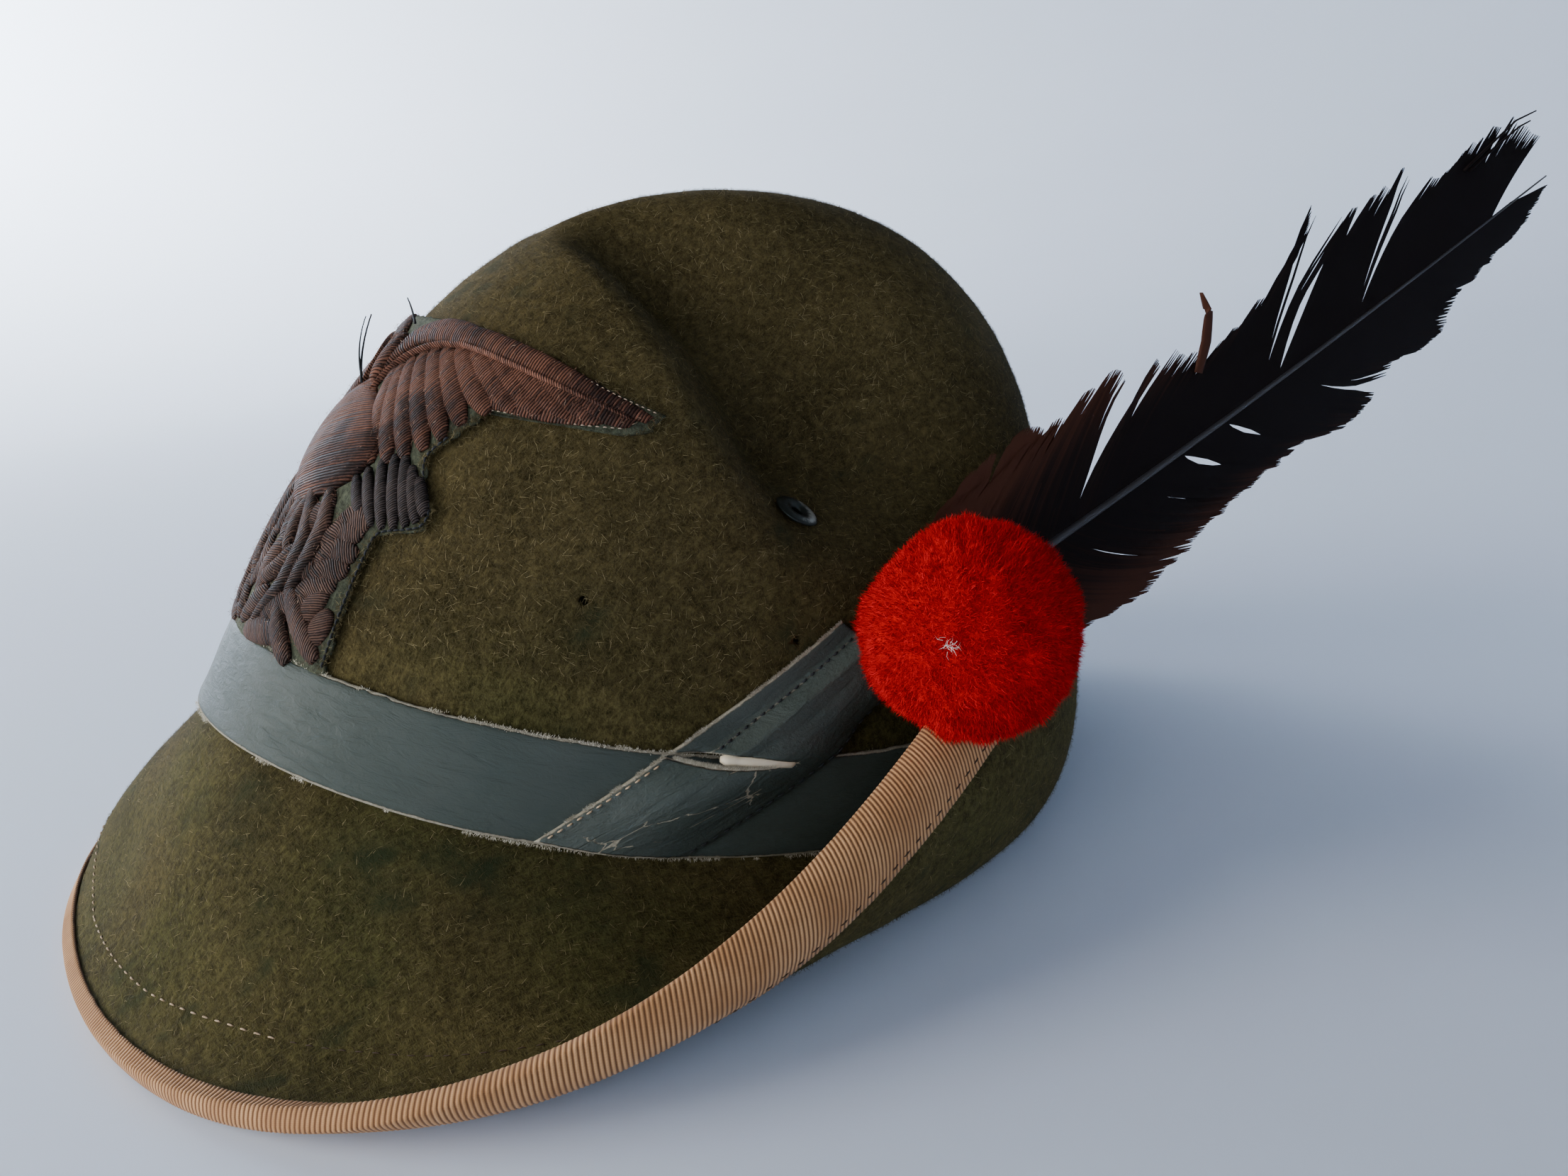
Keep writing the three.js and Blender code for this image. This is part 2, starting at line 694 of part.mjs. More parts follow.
// Ball of wool locks fused to a core, parted below where the brim edge runs into it
function pompomBody() {
  const centre = pompomCentre();
  const core = new THREE.IcosahedronGeometry(0.43 * pompomDiameter, 1).translate(centre.x, centre.y, centre.z);
  const locks = Array.from({ length: lockCount }, (_, i) => {
    const z = 1 - (2 * i + 1) / lockCount;
    const turn = i * Math.PI * (3 - Math.sqrt(5));
    const flat = Math.sqrt(1 - z * z);
    const way = new THREE.Vector3(flat * Math.cos(turn), flat * Math.sin(turn), z);
    const size = 0.185 * pompomDiameter;
    return new THREE.IcosahedronGeometry(size, 0)
      .translate(way.x * 0.33 * pompomDiameter, way.y * 0.33 * pompomDiameter, way.z * 0.33 * pompomDiameter)
      .translate(centre.x, centre.y, centre.z);
  });
  const room = 3 * gap + bindingThickness;
  const deep = [30, 24, 18, bindingUnderneath, bindingOnTop, 0];
  const parting = foldedSection(room, deep, deep.slice().reverse());
  const slotAngles = columnAngles().filter((angle) => angle > 70 && angle < 142);
  const rings = slotAngles.map((angle) => parting.map(([fromEdge, below]) => brimPoint(angle, fromEdge, below)));
  const first = brimPoint(slotAngles[0], 1, 0.5 * feltThickness);
  const last = brimPoint(slotAngles[slotAngles.length - 1], 1, 0.5 * feltThickness);
  const brimRoom = bodyFromRings([[first], ...rings, [last]], false);
  return joined([core, ...locks]).subtract(solidOf(brimRoom));
}

// One named mesh with its own material
function piece(name, shape, color, roughness, metalness = 0) {
  const geometry = shape.isBufferGeometry ? shape : geometryFrom(shape);
  const mesh = new THREE.Mesh(geometry, new THREE.MeshStandardMaterial({ color, roughness, metalness }));
  mesh.name = name;
  return mesh;
}

const hat = new THREE.Group();
hat.add(piece('felt_body', feltBody(), 0x3d3a22, 0.95));
hat.add(piece('brim_binding', brimBinding(), 0xc49a72, 0.8));
hat.add(piece('hat_band', hatBand(), 0x33403f, 0.45));
hat.add(piece('feather_holder', featherHolder(), 0x33403f, 0.45));
eyelets.forEach((eyelet) => {
  hat.add(placeEyelet(piece(eyelet.name, eyeletGeometry(), 0x4a4d48, 0.4, 0.8), eyelet));
});
hat.add(piece('badge_patch', badgePatch(), 0x59604a, 0.95));
hat.add(piece('badge_bird', badgeBird(), 0x6b4232, 0.6));
hat.add(piece('feather', longFeather(), 0x1d1512, 0.5));
hat.add(piece('short_feather', shortFeather(), 0x4a2a1c, 0.55));
hat.add(piece('pompom', pompomBody(), 0xc8101a, 0.9));

// Origin at the middle of the lowest level
const part = new THREE.Group();
part.add(hat);
const box = new THREE.Box3().setFromObject(hat);
hat.position.set(-0.5 * (box.min.x + box.max.x), -0.5 * (box.min.y + box.max.y), -box.min.z);

export default part;
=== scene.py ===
from itertools import product

import bpy
import numpy as np
from mathutils import Matrix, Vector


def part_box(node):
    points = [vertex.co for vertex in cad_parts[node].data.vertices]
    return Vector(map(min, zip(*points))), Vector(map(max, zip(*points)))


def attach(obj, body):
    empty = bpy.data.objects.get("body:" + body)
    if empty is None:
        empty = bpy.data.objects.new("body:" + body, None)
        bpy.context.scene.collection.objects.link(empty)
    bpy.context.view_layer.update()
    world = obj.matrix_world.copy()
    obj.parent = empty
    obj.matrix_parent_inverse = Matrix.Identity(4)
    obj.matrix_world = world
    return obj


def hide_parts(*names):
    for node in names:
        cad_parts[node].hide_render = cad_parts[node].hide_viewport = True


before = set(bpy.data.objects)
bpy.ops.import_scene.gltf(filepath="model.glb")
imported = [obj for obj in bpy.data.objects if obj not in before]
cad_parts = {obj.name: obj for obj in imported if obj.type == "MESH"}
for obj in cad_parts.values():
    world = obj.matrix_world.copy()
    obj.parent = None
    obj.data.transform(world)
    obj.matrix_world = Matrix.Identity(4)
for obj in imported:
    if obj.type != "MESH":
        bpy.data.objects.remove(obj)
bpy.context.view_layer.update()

# Sizes in millimetres, as in the solids, but with a deeper pinch and wider eyelets and pin holes
GAP = 0.3
FELT_THICKNESS = 2.4
HEAD_HALF_LENGTH = 101
HEAD_HALF_WIDTH = 83
CROWN_HEIGHT = 129
CROWN_ROUNDNESS = 2.14
CROWN_LEAN = 0.18
FRONT_SLOPE = 3.1
SEAT_HEIGHT = 19.3
SEAT_TILT = 0.218
SEAT_SADDLE = 5.8
BRIM_REACH = 51
TURN_UP_HEIGHT = 62
BRIM_CURVE = 30
PINCH_DEPTH = 22
BINDING_THICKNESS = 0.6
BINDING_ON_TOP = 3
BINDING_UNDERNEATH = 11.5
BAND_WIDTH = 19.5
BAND_THICKNESS = 1.4
HOLDER_THICKNESS = 1.2
HOLDER_SWELL = 4.4
HOLDER_DRAPE = 9
SLIT_OPENING = 2.6
PIN_HOLE_DIAMETER = 2.125
EYELET_DIAMETER = 10
EYELET_BORE = 2.6
EYELET_RIM = 0.9
PATCH_THICKNESS = 0.9
QUILL_DIAMETER = 3
FEATHER_LENGTH = 278
FEATHER_RISE = 19.2
FEATHER_SWING = 1.1
VANE_WIDTH = 26
SHORT_FEATHER_LENGTH = 66
POMPOM_DIAMETER = 44

# Brim sections, a column for each measure, as in the solids
BRIM_SECTIONS = {
    "reach": (0.76, 1.0, 0.53, 0.265, 0.35),
    "rise": (0.046, 0.13, 0.58, 0.95, 0.87),
    "leaves": (-43, -33, -54, -49, -56),
    "arrives": (-36, 39, 168, 100, 90),
    "leave_curve": (0.85, 0.85, 1.1, 0.43, 0.38),
    "arrive_curve": (0.67, 0.53, 0.54, 1.2, 0.89),
}

# What a section changes by in the middle of the wearer's right front, where the brim is bent down
RIGHT_FRONT = {
    "reach": -0.09, "rise": -0.07, "leaves": 12.5, "arrives": -110, "leave_curve": -0.32,
    "arrive_curve": -0.4,
}

# Pinches of the crown: wearer's left, then right. The left one's rake and steep wall are scene detail
PINCHES = {
    "depth": (1, 0.85),
    "back": (0.15, 0.2),
    "rake": (0.29, 0.47),
    "steep": (0.2, 0.16),
    "gentle": (0.75, 0.7),
    "foot": (0.24, 0.25),
    "full": (0.42, 0.43),
    "fade": (0.66, 0.66),
    "top": (0.9, 0.88),
}

# Borders of the feather holder, heights as shares of the band's width
HOLDER_BORDERS = {
    "along": (0, 0.42, 1),
    "left_angle": (57.2, 68.8, 87.2),
    "left_height": (0.05, 1.0, 2.29),
    "right_angle": (73.6, 89, 97),
    "right_height": (0.05, 1.02, 1.8),
}

# Places on the felt as angle and level
EYELET_PLACES = {"vent_eyelet_left": (81.1, 0.318), "vent_eyelet_right": (-81.1, 0.318)}
PIN_HOLES = ((55.2, 0.206), (82, 0.19))
BADGE_MIDDLE_ANGLE = 0.5


# Shape of the hat

def unit(vectors):
    """Vectors divided by their own length."""
    return vectors / np.maximum(np.linalg.norm(vectors, axis=-1, keepdims=True), 1e-12)


def smooth_step(value):
    """0 below 0, 1 above 1, and 3t^2 - 2t^3 between them."""
    t = np.clip(value, 0, 1)
    return t * t * (3 - 2 * t)


def stacked(*columns):
    """Columns of any shapes that fit together, as the last axis of one array."""
    return np.stack(np.broadcast_arrays(*columns), -1).astype(float)


def round_the_hat(column, angle):
    """Even cosine series in the angle that runs through the five brim sections, and a squared sine of
    twice the angle at the wearer's right front."""
    values = np.array(BRIM_SECTIONS[column], float)
    last = len(values) - 1
    index = np.arange(last + 1)
    ends = np.where((index == 0) | (index == last), 0.5, 1.0)
    total = 0
    for k in range(last + 1):
        weight = (1 if k in (0, last) else 2) / last
        term = weight * np.sum(ends * values * np.cos(np.pi * index * k / last))
        total = total + term * np.cos(k * np.radians(angle))
    turn = (np.asarray(angle, float) + 180) % 360 - 180
    bent = np.where((turn > -90) & (turn < 0), np.sin(np.radians(2 * turn)) ** 2, 0)
    return total + RIGHT_FRONT[column] * bent


def seat_point(angle):
    """Ellipse of the head, tilted by a share of y and saddled by the cosine of twice the angle."""
    y = -HEAD_HALF_LENGTH * np.cos(np.radians(angle))
    z = SEAT_HEIGHT - SEAT_TILT * y + SEAT_SADDLE * np.cos(2 * np.radians(angle))
    return stacked(HEAD_HALF_WIDTH * np.sin(np.radians(angle)), y, z)


def outwards(angle):
    """Level direction square to the head's ellipse."""
    x = np.sin(np.radians(angle)) / HEAD_HALF_WIDTH
    y = -np.cos(np.radians(angle)) / HEAD_HALF_LENGTH
    return unit(stacked(x, y, 0 * x))


def dome_point(angle, level):
    """Superellipse of revolution on the seat: its turn is level times 90 degrees, its share of the
    seat's size falls with the cosine of the turn and its height grows with the sine."""
    turn = np.radians(90) * level
    in_share = np.maximum(np.cos(turn), 0) ** (2 / CROWN_ROUNDNESS)
    height = CROWN_HEIGHT * np.sin(turn) ** (2 / CROWN_ROUNDNESS)
    seat = seat_point(angle)
    y = seat[..., 1] * in_share
    saddle = SEAT_SADDLE * np.cos(2 * np.radians(angle)) * (1 - np.sin(turn)) * in_share
    front = np.maximum(np.cos(np.radians(angle)), 0) ** 1.5
    shift = CROWN_LEAN * height + FRONT_SLOPE * np.sin(2 * np.pi * level) * front
    up = unit(np.array([0, SEAT_TILT, 1.0]))
    base = stacked(seat[..., 0] * in_share, y + shift, SEAT_HEIGHT - SEAT_TILT * y + saddle)
    return base + np.asarray(height)[..., None] * up


def out_of(surface, angle, level):
    """Cross product of a surface's steps round the hat and up it."""
    middle = np.clip(level, 0.002, 0.985)
    across = surface(angle + 0.5, middle) - surface(angle - 0.5, middle)
    upwards = surface(angle, middle + 0.002) - surface(angle, middle - 0.002)
    return unit(np.cross(across, upwards))


def pinch_depth(point, level):
    """Depth of the nearer pinch: a steep wall before its raked valley and a long slow one behind,
    faded in above its foot and out below the ridge of the crown."""
    side = np.where(point[..., 0] < 0, 1, 0)
    row = {name: np.array(values, float)[side] for name, values in PINCHES.items()}
    valley = HEAD_HALF_LENGTH * (row["back"] - row["rake"] * (level - 0.326))
    behind = (point[..., 1] - valley) / HEAD_HALF_LENGTH
    steep = smooth_step(1 + behind / row["steep"])
    gentle = np.cos(0.5 * np.pi * np.clip(behind / row["gentle"], 0, 1)) ** 2
    rising = smooth_step((level - row["foot"]) / (row["full"] - row["foot"]))
    falling = 1 - smooth_step((level - row["fade"]) / (row["top"] - row["fade"]))
    off_ridge = smooth_step(np.abs(point[..., 0]) / (0.3 * HEAD_HALF_WIDTH))
    return PINCH_DEPTH * row["depth"] * np.where(behind < 0, steep, gentle) * rising * falling * off_ridge


def crown_point(angle, level):
    """Dome pushed in by its pinches."""
    point = dome_point(angle, level)
    return point - out_of(dome_point, angle, level) * pinch_depth(point, level)[..., None]


def off_crown(angle, level, distance):
    """Point at a distance off the crown."""
    out = out_of(crown_point, angle, level)
    return crown_point(angle, level) + out * np.asarray(distance, float)[..., None]


def level_at(height):
    """Level of the crown at a height above the brim."""
    share = np.clip(np.asarray(height, float) / CROWN_HEIGHT, 0, 1) ** (CROWN_ROUNDNESS / 2)
    return np.arcsin(share) / np.radians(90)


def brim_curve(angle):
    """Four control points of the brim's upright section at each angle, as (out, z)."""
    start = stacked(0 * angle, seat_point(angle)[..., 2])
    reach = BRIM_REACH * round_the_hat("reach", angle)
    end = stacked(reach, TURN_UP_HEIGHT * round_the_hat("rise", angle))
    leave = np.radians(round_the_hat("leaves", angle))
    arrive = np.radians(round_the_hat("arrives", angle))
    leave_length = BRIM_CURVE * round_the_hat("leave_curve", angle)[..., None]
    arrive_length = BRIM_CURVE * round_the_hat("arrive_curve", angle)[..., None]
    first = start + leave_length * stacked(np.cos(leave), np.sin(leave))
    second = end - arrive_length * stacked(np.cos(arrive), np.sin(arrive))
    return start, first, second, end


def brim_run(angle, count=97):
    """Lengths along the section at equal steps of its parameter, and those steps."""
    a, b, c, d = brim_curve(angle)
    t = np.linspace(0, 1, count)[:, None, None]
    curve = (1 - t) ** 3 * a + 3 * t * (1 - t) ** 2 * b + 3 * t * t * (1 - t) * c + t ** 3 * d
    pieces = np.linalg.norm(np.diff(curve, axis=0), axis=-1)
    return np.concatenate([np.zeros((1, len(angle))), np.cumsum(pieces, axis=0)]), t[:, 0, 0]


def brim_length(angle):
    """Length of the brim's section from the crown to its edge."""
    return brim_run(angle)[0][-1]


def brim_point(angle, from_edge, below):
    """Cubic section walked by its own length, then moved square to itself by the depth below."""
    run, steps = brim_run(angle)
    length = run[-1]
    from_edge, below = np.broadcast_arrays(from_edge, below)
    place = np.clip(1 - from_edge / length, 0, 1)
    order = 2.0 * np.arange(len(angle))
    known = (run / length + order).T.ravel()
    t = np.interp((place + order).ravel(), known, np.tile(steps, len(angle))).reshape(place.shape)[..., None]
    a, b, c, d = brim_curve(angle)
    point = (1 - t) ** 3 * a + 3 * t * (1 - t) ** 2 * b + 3 * t * t * (1 - t) * c + t ** 3 * d
    tangent = unit((1 - t) ** 2 * (b - a) + 2 * t * (1 - t) * (c - b) + t * t * (d - c))
    point = point + tangent * np.maximum(-from_edge, 0)[..., None]
    point = point + below[..., None] * stacked(tangent[..., 1], -tangent[..., 0])
    seat, side = seat_point(angle), outwards(angle)
    level = seat[..., :2] + side[..., :2] * point[..., :1]
    return np.concatenate([level, point[..., 1:]], -1)


def feather_frame():
    """Seat of the quill in its holder, the way along it, up across its vane and out of its face."""
    off = GAP + BAND_THICKNESS + GAP + 0.5 * QUILL_DIAMETER
    seat = off_crown(np.array(77.6), level_at(1.07 * BAND_WIDTH), off)
    rise, swing = np.radians(FEATHER_RISE), np.radians(FEATHER_SWING)
    along = np.array([-np.sin(swing) * np.cos(rise), np.cos(swing) * np.cos(rise), np.sin(rise)])
    up = unit(np.array([0, 0, 1.0]) - along * along[2])
    return seat, along, up, np.cross(along, up)


def feather_point(axes, along, up, out):
    """Point by its distances along the quill, up across the vane and out of its face."""
    seat, *ways = axes
    return seat + sum(np.asarray(d, float)[..., None] * way for d, way in zip((along, up, out), ways))


# Place of the hat in the frame, read off the band's solid
def hat_shift():
    """The band is as wide to both sides, and its foremost point is the foot of its front."""
    low, high = (1000 * np.array(corner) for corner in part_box("hat_band"))
    foot = off_crown(np.array(0.0), level_at(0.03 * BAND_WIDTH), GAP + BAND_THICKNESS)
    return np.array([0.5 * (low[0] + high[0]), low[1] - foot[1], 0])


SHIFT = hat_shift()


def placed(points):
    """Millimetres of the hat as metres of the frame."""
    return (np.asarray(points, float) + SHIFT) / 1000


# Random values that are the same on each run

def value_noise(points, size, seed=0):
    """Random values from 0 to 1 at the corners of cubes of a size, blended smoothly inside each."""
    place = np.asarray(points, float) / size + 500
    cell = np.floor(place).astype(np.int64)
    share = smooth_step(place - cell)
    total = 0
    for corner in product((0, 1), repeat=3):
        key = (cell + corner) * np.array([73856093, 19349663, 83492791])
        mixed = key[..., 0] ^ key[..., 1] ^ key[..., 2] ^ (seed * 97531 + 12345)
        mixed = ((mixed ^ (mixed >> 15)) * 2246822519) & 0x7FFFFFFF
        mixed = ((mixed ^ (mixed >> 13)) * 3266489917) & 0x7FFFFFFF
        weight = np.prod(np.where(corner, share, 1 - share), axis=-1)
        total = total + weight * ((mixed ^ (mixed >> 16)) % 65536) / 65535
    return total


def felt_wave(points):
    """Slow and small unevenness of blocked felt, in millimetres."""
    slow = value_noise(points, 26, 3) - 0.5
    small = value_noise(points, 7, 4) - 0.5
    return 0.5 * slow + 0.2 * small


# Meshes

def grid_faces(rows, columns, round_rows=False, round_columns=False):
    """Four sided faces between neighbours of a grid, closed on itself where asked."""
    r = np.arange(rows if round_rows else rows - 1)
    c = np.arange(columns if round_columns else columns - 1)
    r, c = np.meshgrid(r, c, indexing="ij")
    below, beside = (r + 1) % rows, (c + 1) % columns
    corners = (r * columns + c, r * columns + beside, below * columns + beside, below * columns + c)
    return np.stack(corners, -1).reshape(-1, 4)


def volume_of(points, faces):
    """Signed volume of a closed mesh, from the triangles of its fans."""
    a = points[faces[:, 0]]
    fans = [np.einsum("ij,ij->i", a, np.cross(points[faces[:, i]], points[faces[:, i + 1]]))
            for i in range(1, faces.shape[1] - 1)]
    return sum(fan.sum() for fan in fans) / 6


def make_piece(name, points, face_sets, material, uv=None, around=None, marks=None, flip=None):
    """Mesh object from whole arrays. A closed body is turned so that its faces point out, unless flip
    says which way. around is the length after which the first UV value repeats."""
    points = np.asarray(points, float).reshape(-1, 3)
    if flip is None:
        flip = sum(volume_of(points, faces) for faces in face_sets) < 0
    if flip:
        face_sets = [faces[:, ::-1] for faces in face_sets]
    corners = np.concatenate([faces.ravel() for faces in face_sets])
    counts = np.concatenate([np.full(len(faces), faces.shape[1]) for faces in face_sets])
    starts = np.concatenate([[0], np.cumsum(counts)[:-1]])
    mesh = bpy.data.meshes.new(name)
    mesh.vertices.add(len(points))
    mesh.vertices.foreach_set("co", placed(points).astype(np.float32).ravel())
    mesh.loops.add(len(corners))
    mesh.loops.foreach_set("vertex_index", corners.astype(np.int32))
    mesh.polygons.add(len(starts))
    mesh.polygons.foreach_set("loop_start", starts.astype(np.int32))
    if uv is not None:
        values = np.asarray(uv, float).reshape(-1, 2)[corners]
        if around:
            highest = np.maximum.reduceat(values[:, 0], starts)
            behind = values[:, 0] < np.repeat(highest, counts) - 0.5 * around
            values[:, 0] += np.where(behind, around, 0)
        mesh.uv_layers.new(name="cloth").data.foreach_set("uv", values.astype(np.float32).ravel())
    for mark, values in (marks or {}).items():
        layer = mesh.attributes.new(mark, "FLOAT", "POINT")
        layer.data.foreach_set("value", np.asarray(values, np.float32).ravel())
    mesh.update(calc_edges=True)
    mesh.validate()
    mesh.polygons.foreach_set("use_smooth", np.ones(len(mesh.polygons), bool))
    mesh.materials.append(material)
    piece = bpy.data.objects.new(name, mesh)
    bpy.context.scene.collection.objects.link(piece)
    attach(piece, "root")
    return piece


def ring_body(rings, poles=()):
    """Points and faces of rings of equal size, with a fan to a pole before the first and after the last."""
    rings = np.asarray(rings)
    rows, columns = rings.shape[:2]
    points = [rings.reshape(-1, 3)]
    faces = [grid_faces(rows, columns, round_columns=True)]
    for pole, row in zip(poles, (0, rows - 1)):
        points.append(np.asarray(pole, float).reshape(1, 3))
        tip = rows * columns + len(points) - 2
        ring = row * columns + np.arange(columns)
        after = np.roll(ring, -1)
        fan = (ring, np.full(columns, tip), after) if row == 0 else (ring, after, np.full(columns, tip))
        faces.append(np.stack(fan, -1))
    return np.concatenate(points), faces


def sheet_body(face, back, drop_last=None, drop_first=None):
    """Closed sheet between two grids of one size. A wall at the first or last row is left out
    in the columns that a mask names, where the next sheet goes on."""
    rows, columns = face.shape[:2]
    count = rows * columns
    front = grid_faces(rows, columns)
    index = np.arange(count).reshape(rows, columns)

    def wall(line, keep):
        a, b = line[:-1][keep], line[1:][keep]
        return np.stack([b, a, a + count, b + count], -1)

    everywhere = np.ones(columns - 1, bool)
    first = everywhere if drop_first is None else ~drop_first
    last = everywhere if drop_last is None else ~drop_last
    walls = [wall(index[0], first), wall(index[-1][::-1], last[::-1])]
    sides = np.ones(rows - 1, bool)
    walls += [wall(index[:, -1], sides), wall(index[::-1, 0], sides)]
    points = np.concatenate([face.reshape(-1, 3), back.reshape(-1, 3)])
    return points, [np.concatenate([front, front[:, ::-1] + count] + walls)]


def tube(path, radius, sides=8, squash=1.0):
    """Circle carried along a path, square to it, closed by a fan at each end."""
    path = np.asarray(path, float)
    along = unit(np.gradient(path, axis=0))
    hint = np.where(np.abs(along[:, 2:]) > 0.9, [[1.0, 0, 0]], [[0, 0, 1.0]])
    side = unit(np.cross(along, hint))
    up = np.cross(side, along)
    turn = np.linspace(0, 2 * np.pi, sides, endpoint=False)[None, :, None]
    radius = np.broadcast_to(radius, len(path))[:, None, None]
    ring = path[:, None] + radius * (np.cos(turn) * side[:, None] + squash * np.sin(turn) * up[:, None])
    return ring_body(ring, (path[0], path[-1]))


def joined(bodies):
    """Points and faces of several bodies as one."""
    points, faces, start = [], {}, 0
    for body_points, face_sets in bodies:
        points.append(body_points)
        for face_set in face_sets:
            faces.setdefault(face_set.shape[1], []).append(face_set + start)
        start += len(body_points)
    return np.concatenate(points), [np.concatenate(sets) for sets in faces.values()]


def turned_out(body):
    """Body whose faces point out."""
    points, face_sets = body
    if sum(volume_of(points, faces) for faces in face_sets) < 0:
        face_sets = [faces[:, ::-1] for faces in face_sets]
    return points, face_sets


def scatter(grid, count, seed, keep=None, turned=1):
    """Roots spread over a grid of points by area: a cell is drawn by its area times its keep value,
    and the root lies anywhere in it. Gives the roots and the directions out."""
    rng = np.random.default_rng(seed)
    a, b, c, d = grid[:-1, :-1], grid[:-1, 1:], grid[1:, 1:], grid[1:, :-1]
    normal = np.cross(c - a, d - b) * turned
    area = np.linalg.norm(normal, axis=-1)
    weight = area if keep is None else area * keep
    pick = rng.choice(area.size, count, p=(weight / weight.sum()).ravel())
    r, k = np.unravel_index(pick, area.shape)
    s, t = rng.random((2, count, 1))
    root = (1 - s) * ((1 - t) * a[r, k] + t * b[r, k]) + s * ((1 - t) * d[r, k] + t * c[r, k])
    return root, unit(normal[r, k])


def hairs(name, root, out, length, width, lift, material, seed, way=None, curl=0.3):
    """Short hairs, each a strip of two lengths: it leaves its root at a lift in degrees above the
    surface, in a random direction or near a given one, and bends aside on the way to its tip. It is
    kept above the floor."""
    rng = np.random.default_rng(seed)
    count = len(root)
    spread = rng.normal(size=(count, 3))
    lean = spread if way is None else way * 1.6 + 0.7 * spread
    lean = unit(lean - np.sum(lean * out, -1, keepdims=True) * out)
    side = np.cross(out, lean)
    reach = length * (0.55 + 0.9 * rng.random((count, 1)))
    first_lift = np.radians(lift) * (0.5 + rng.random((count, 1)))
    bend = curl * rng.normal(size=(count, 1))
    second = unit(lean + bend * side)
    middle = root + 0.5 * reach * (np.cos(first_lift) * lean + np.sin(first_lift) * out)
    last_lift = first_lift * (0.1 + 0.9 * rng.random((count, 1)))
    tip = middle + 0.5 * reach * (np.cos(last_lift) * second + np.sin(last_lift) * out)
    half = 0.5 * width * side
    points = np.stack([root - half, root + half, middle - 0.7 * half, middle + 0.7 * half, tip], 1)
    points[..., 2] = np.maximum(points[..., 2], 0.06)
    corners = np.array([[0, 1, 3], [0, 3, 2], [2, 3, 4]])
    faces = (5 * np.arange(count)[:, None, None] + corners).reshape(-1, 3)
    tint = np.repeat(rng.random(count), 5)
    return make_piece(name, points, [faces], material, marks={"tint": tint}, flip=False)


# Shader nodes

def node(tree, kind, inputs=None, **settings):
    """New shader node with its settings and the values of its inputs."""
    made = tree.nodes.new("ShaderNode" + kind)
    for name, value in settings.items():
        setattr(made, name, value)
    for name, value in (inputs or {}).items():
        connect(tree, value, made.inputs[name])
    return made


def connect(tree, value, socket):
    """Link a socket to an input, or set the input to a plain value."""
    if isinstance(value, bpy.types.NodeSocket):
        tree.links.new(value, socket)
    elif hasattr(socket.default_value, "__len__") and len(value) == 3 and len(socket.default_value) == 4:
        socket.default_value = (*value, 1)
    else:
        socket.default_value = value


def maths(tree, operation, first, second=0.0):
    """Value worked out from one or two others."""
    return node(tree, "Math", {0: first, 1: second}, operation=operation).outputs[0]


def rescaled(tree, value, low, high, to_low=0.0, to_high=1.0):
    """Value moved from one range to another, smoothly and without going past it."""
    inputs = {"Value": value, "From Min": low, "From Max": high, "To Min": to_low, "To Max": to_high}
    return node(tree, "MapRange", inputs, interpolation_type="SMOOTHSTEP").outputs[0]


def mixed(tree, factor, first, second, mode="MIX"):
    """Colour between two colours."""
    made = node(tree, "Mix", data_type="RGBA", blend_type=mode)
    for number, value in ((0, factor), (6, first), (7, second)):
        connect(tree, value, made.inputs[number])
    return made.outputs[2]


def noise(tree, size, detail=3.0, roughness=0.55, vector=None, stretch=None, distortion=0.0):
    """Noise whose lumps have a size in millimetres, on Object coordinates unless told otherwise."""
    if vector is None:
        vector = node(tree, "TexCoord").outputs["Object"]
    scale = stretch or (1, 1, 1)
    mapping = node(tree, "Mapping", {"Vector": vector, "Scale": tuple(1000 / size * s for s in scale)})
    inputs = {"Vector": mapping.outputs[0], "Scale": 1.0, "Detail": detail, "Roughness": roughness,
              "Distortion": distortion}
    return node(tree, "TexNoise", inputs).outputs["Fac"]


def mark(tree, name):
    """Value of a named attribute."""
    return node(tree, "Attribute", attribute_name=name).outputs["Fac"]


def cloth_axes(tree):
    """The two lengths of the piece's own UV map, in millimetres."""
    parts = node(tree, "SeparateXYZ", {0: node(tree, "UVMap", uv_map="cloth").outputs[0]})
    return parts.outputs[0], parts.outputs[1]


def new_group(name, inputs, outputs):
    """Node group with named sockets: inputs and outputs are lists of (name, kind, value)."""
    group = bpy.data.node_groups.new(name, "ShaderNodeTree")
    for socket_name, kind, value in inputs:
        socket = group.interface.new_socket(socket_name, in_out="INPUT", socket_type="NodeSocket" + kind)
        socket.default_value = value
    for socket_name, kind in outputs:
        group.interface.new_socket(socket_name, in_out="OUTPUT", socket_type="NodeSocket" + kind)
    return group, group.nodes.new("NodeGroupInput"), group.nodes.new("NodeGroupOutput")


def placed_group(tree, group, inputs):
    """A group in a material, with its own values."""
    made = tree.nodes.new("ShaderNodeGroup")
    made.node_tree = group
    for name, value in inputs.items():
        connect(tree, value, made.inputs[name])
    return made.outputs


def new_material(name, **settings):
    """Material with a Principled shader: gives the material, its tree and the shader."""
    material = bpy.data.materials.new(name)
    material.use_nodes = True
    shader = material.node_tree.nodes["Principled BSDF"]
    for socket, value in settings.items():
        connect(material.node_tree, value, shader.inputs[socket.replace("_", " ")])
    return material, material.node_tree, shader


def finish_with(tree, shader, colour=None, roughness=None, height=None, relief=0.1, strength=1.0):
    """Feed the shader: colour, roughness, and a height in shares of a relief in millimetres."""
    if colour is not None:
        connect(tree, colour, shader.inputs["Base Color"])
    if roughness is not None:
        connect(tree, roughness, shader.inputs["Roughness"])
    if height is not None:
        inputs = {"Strength": strength, "Distance": relief / 1000, "Height": height}
        connect(tree, node(tree, "Bump", inputs).outputs[0], shader.inputs["Normal"])


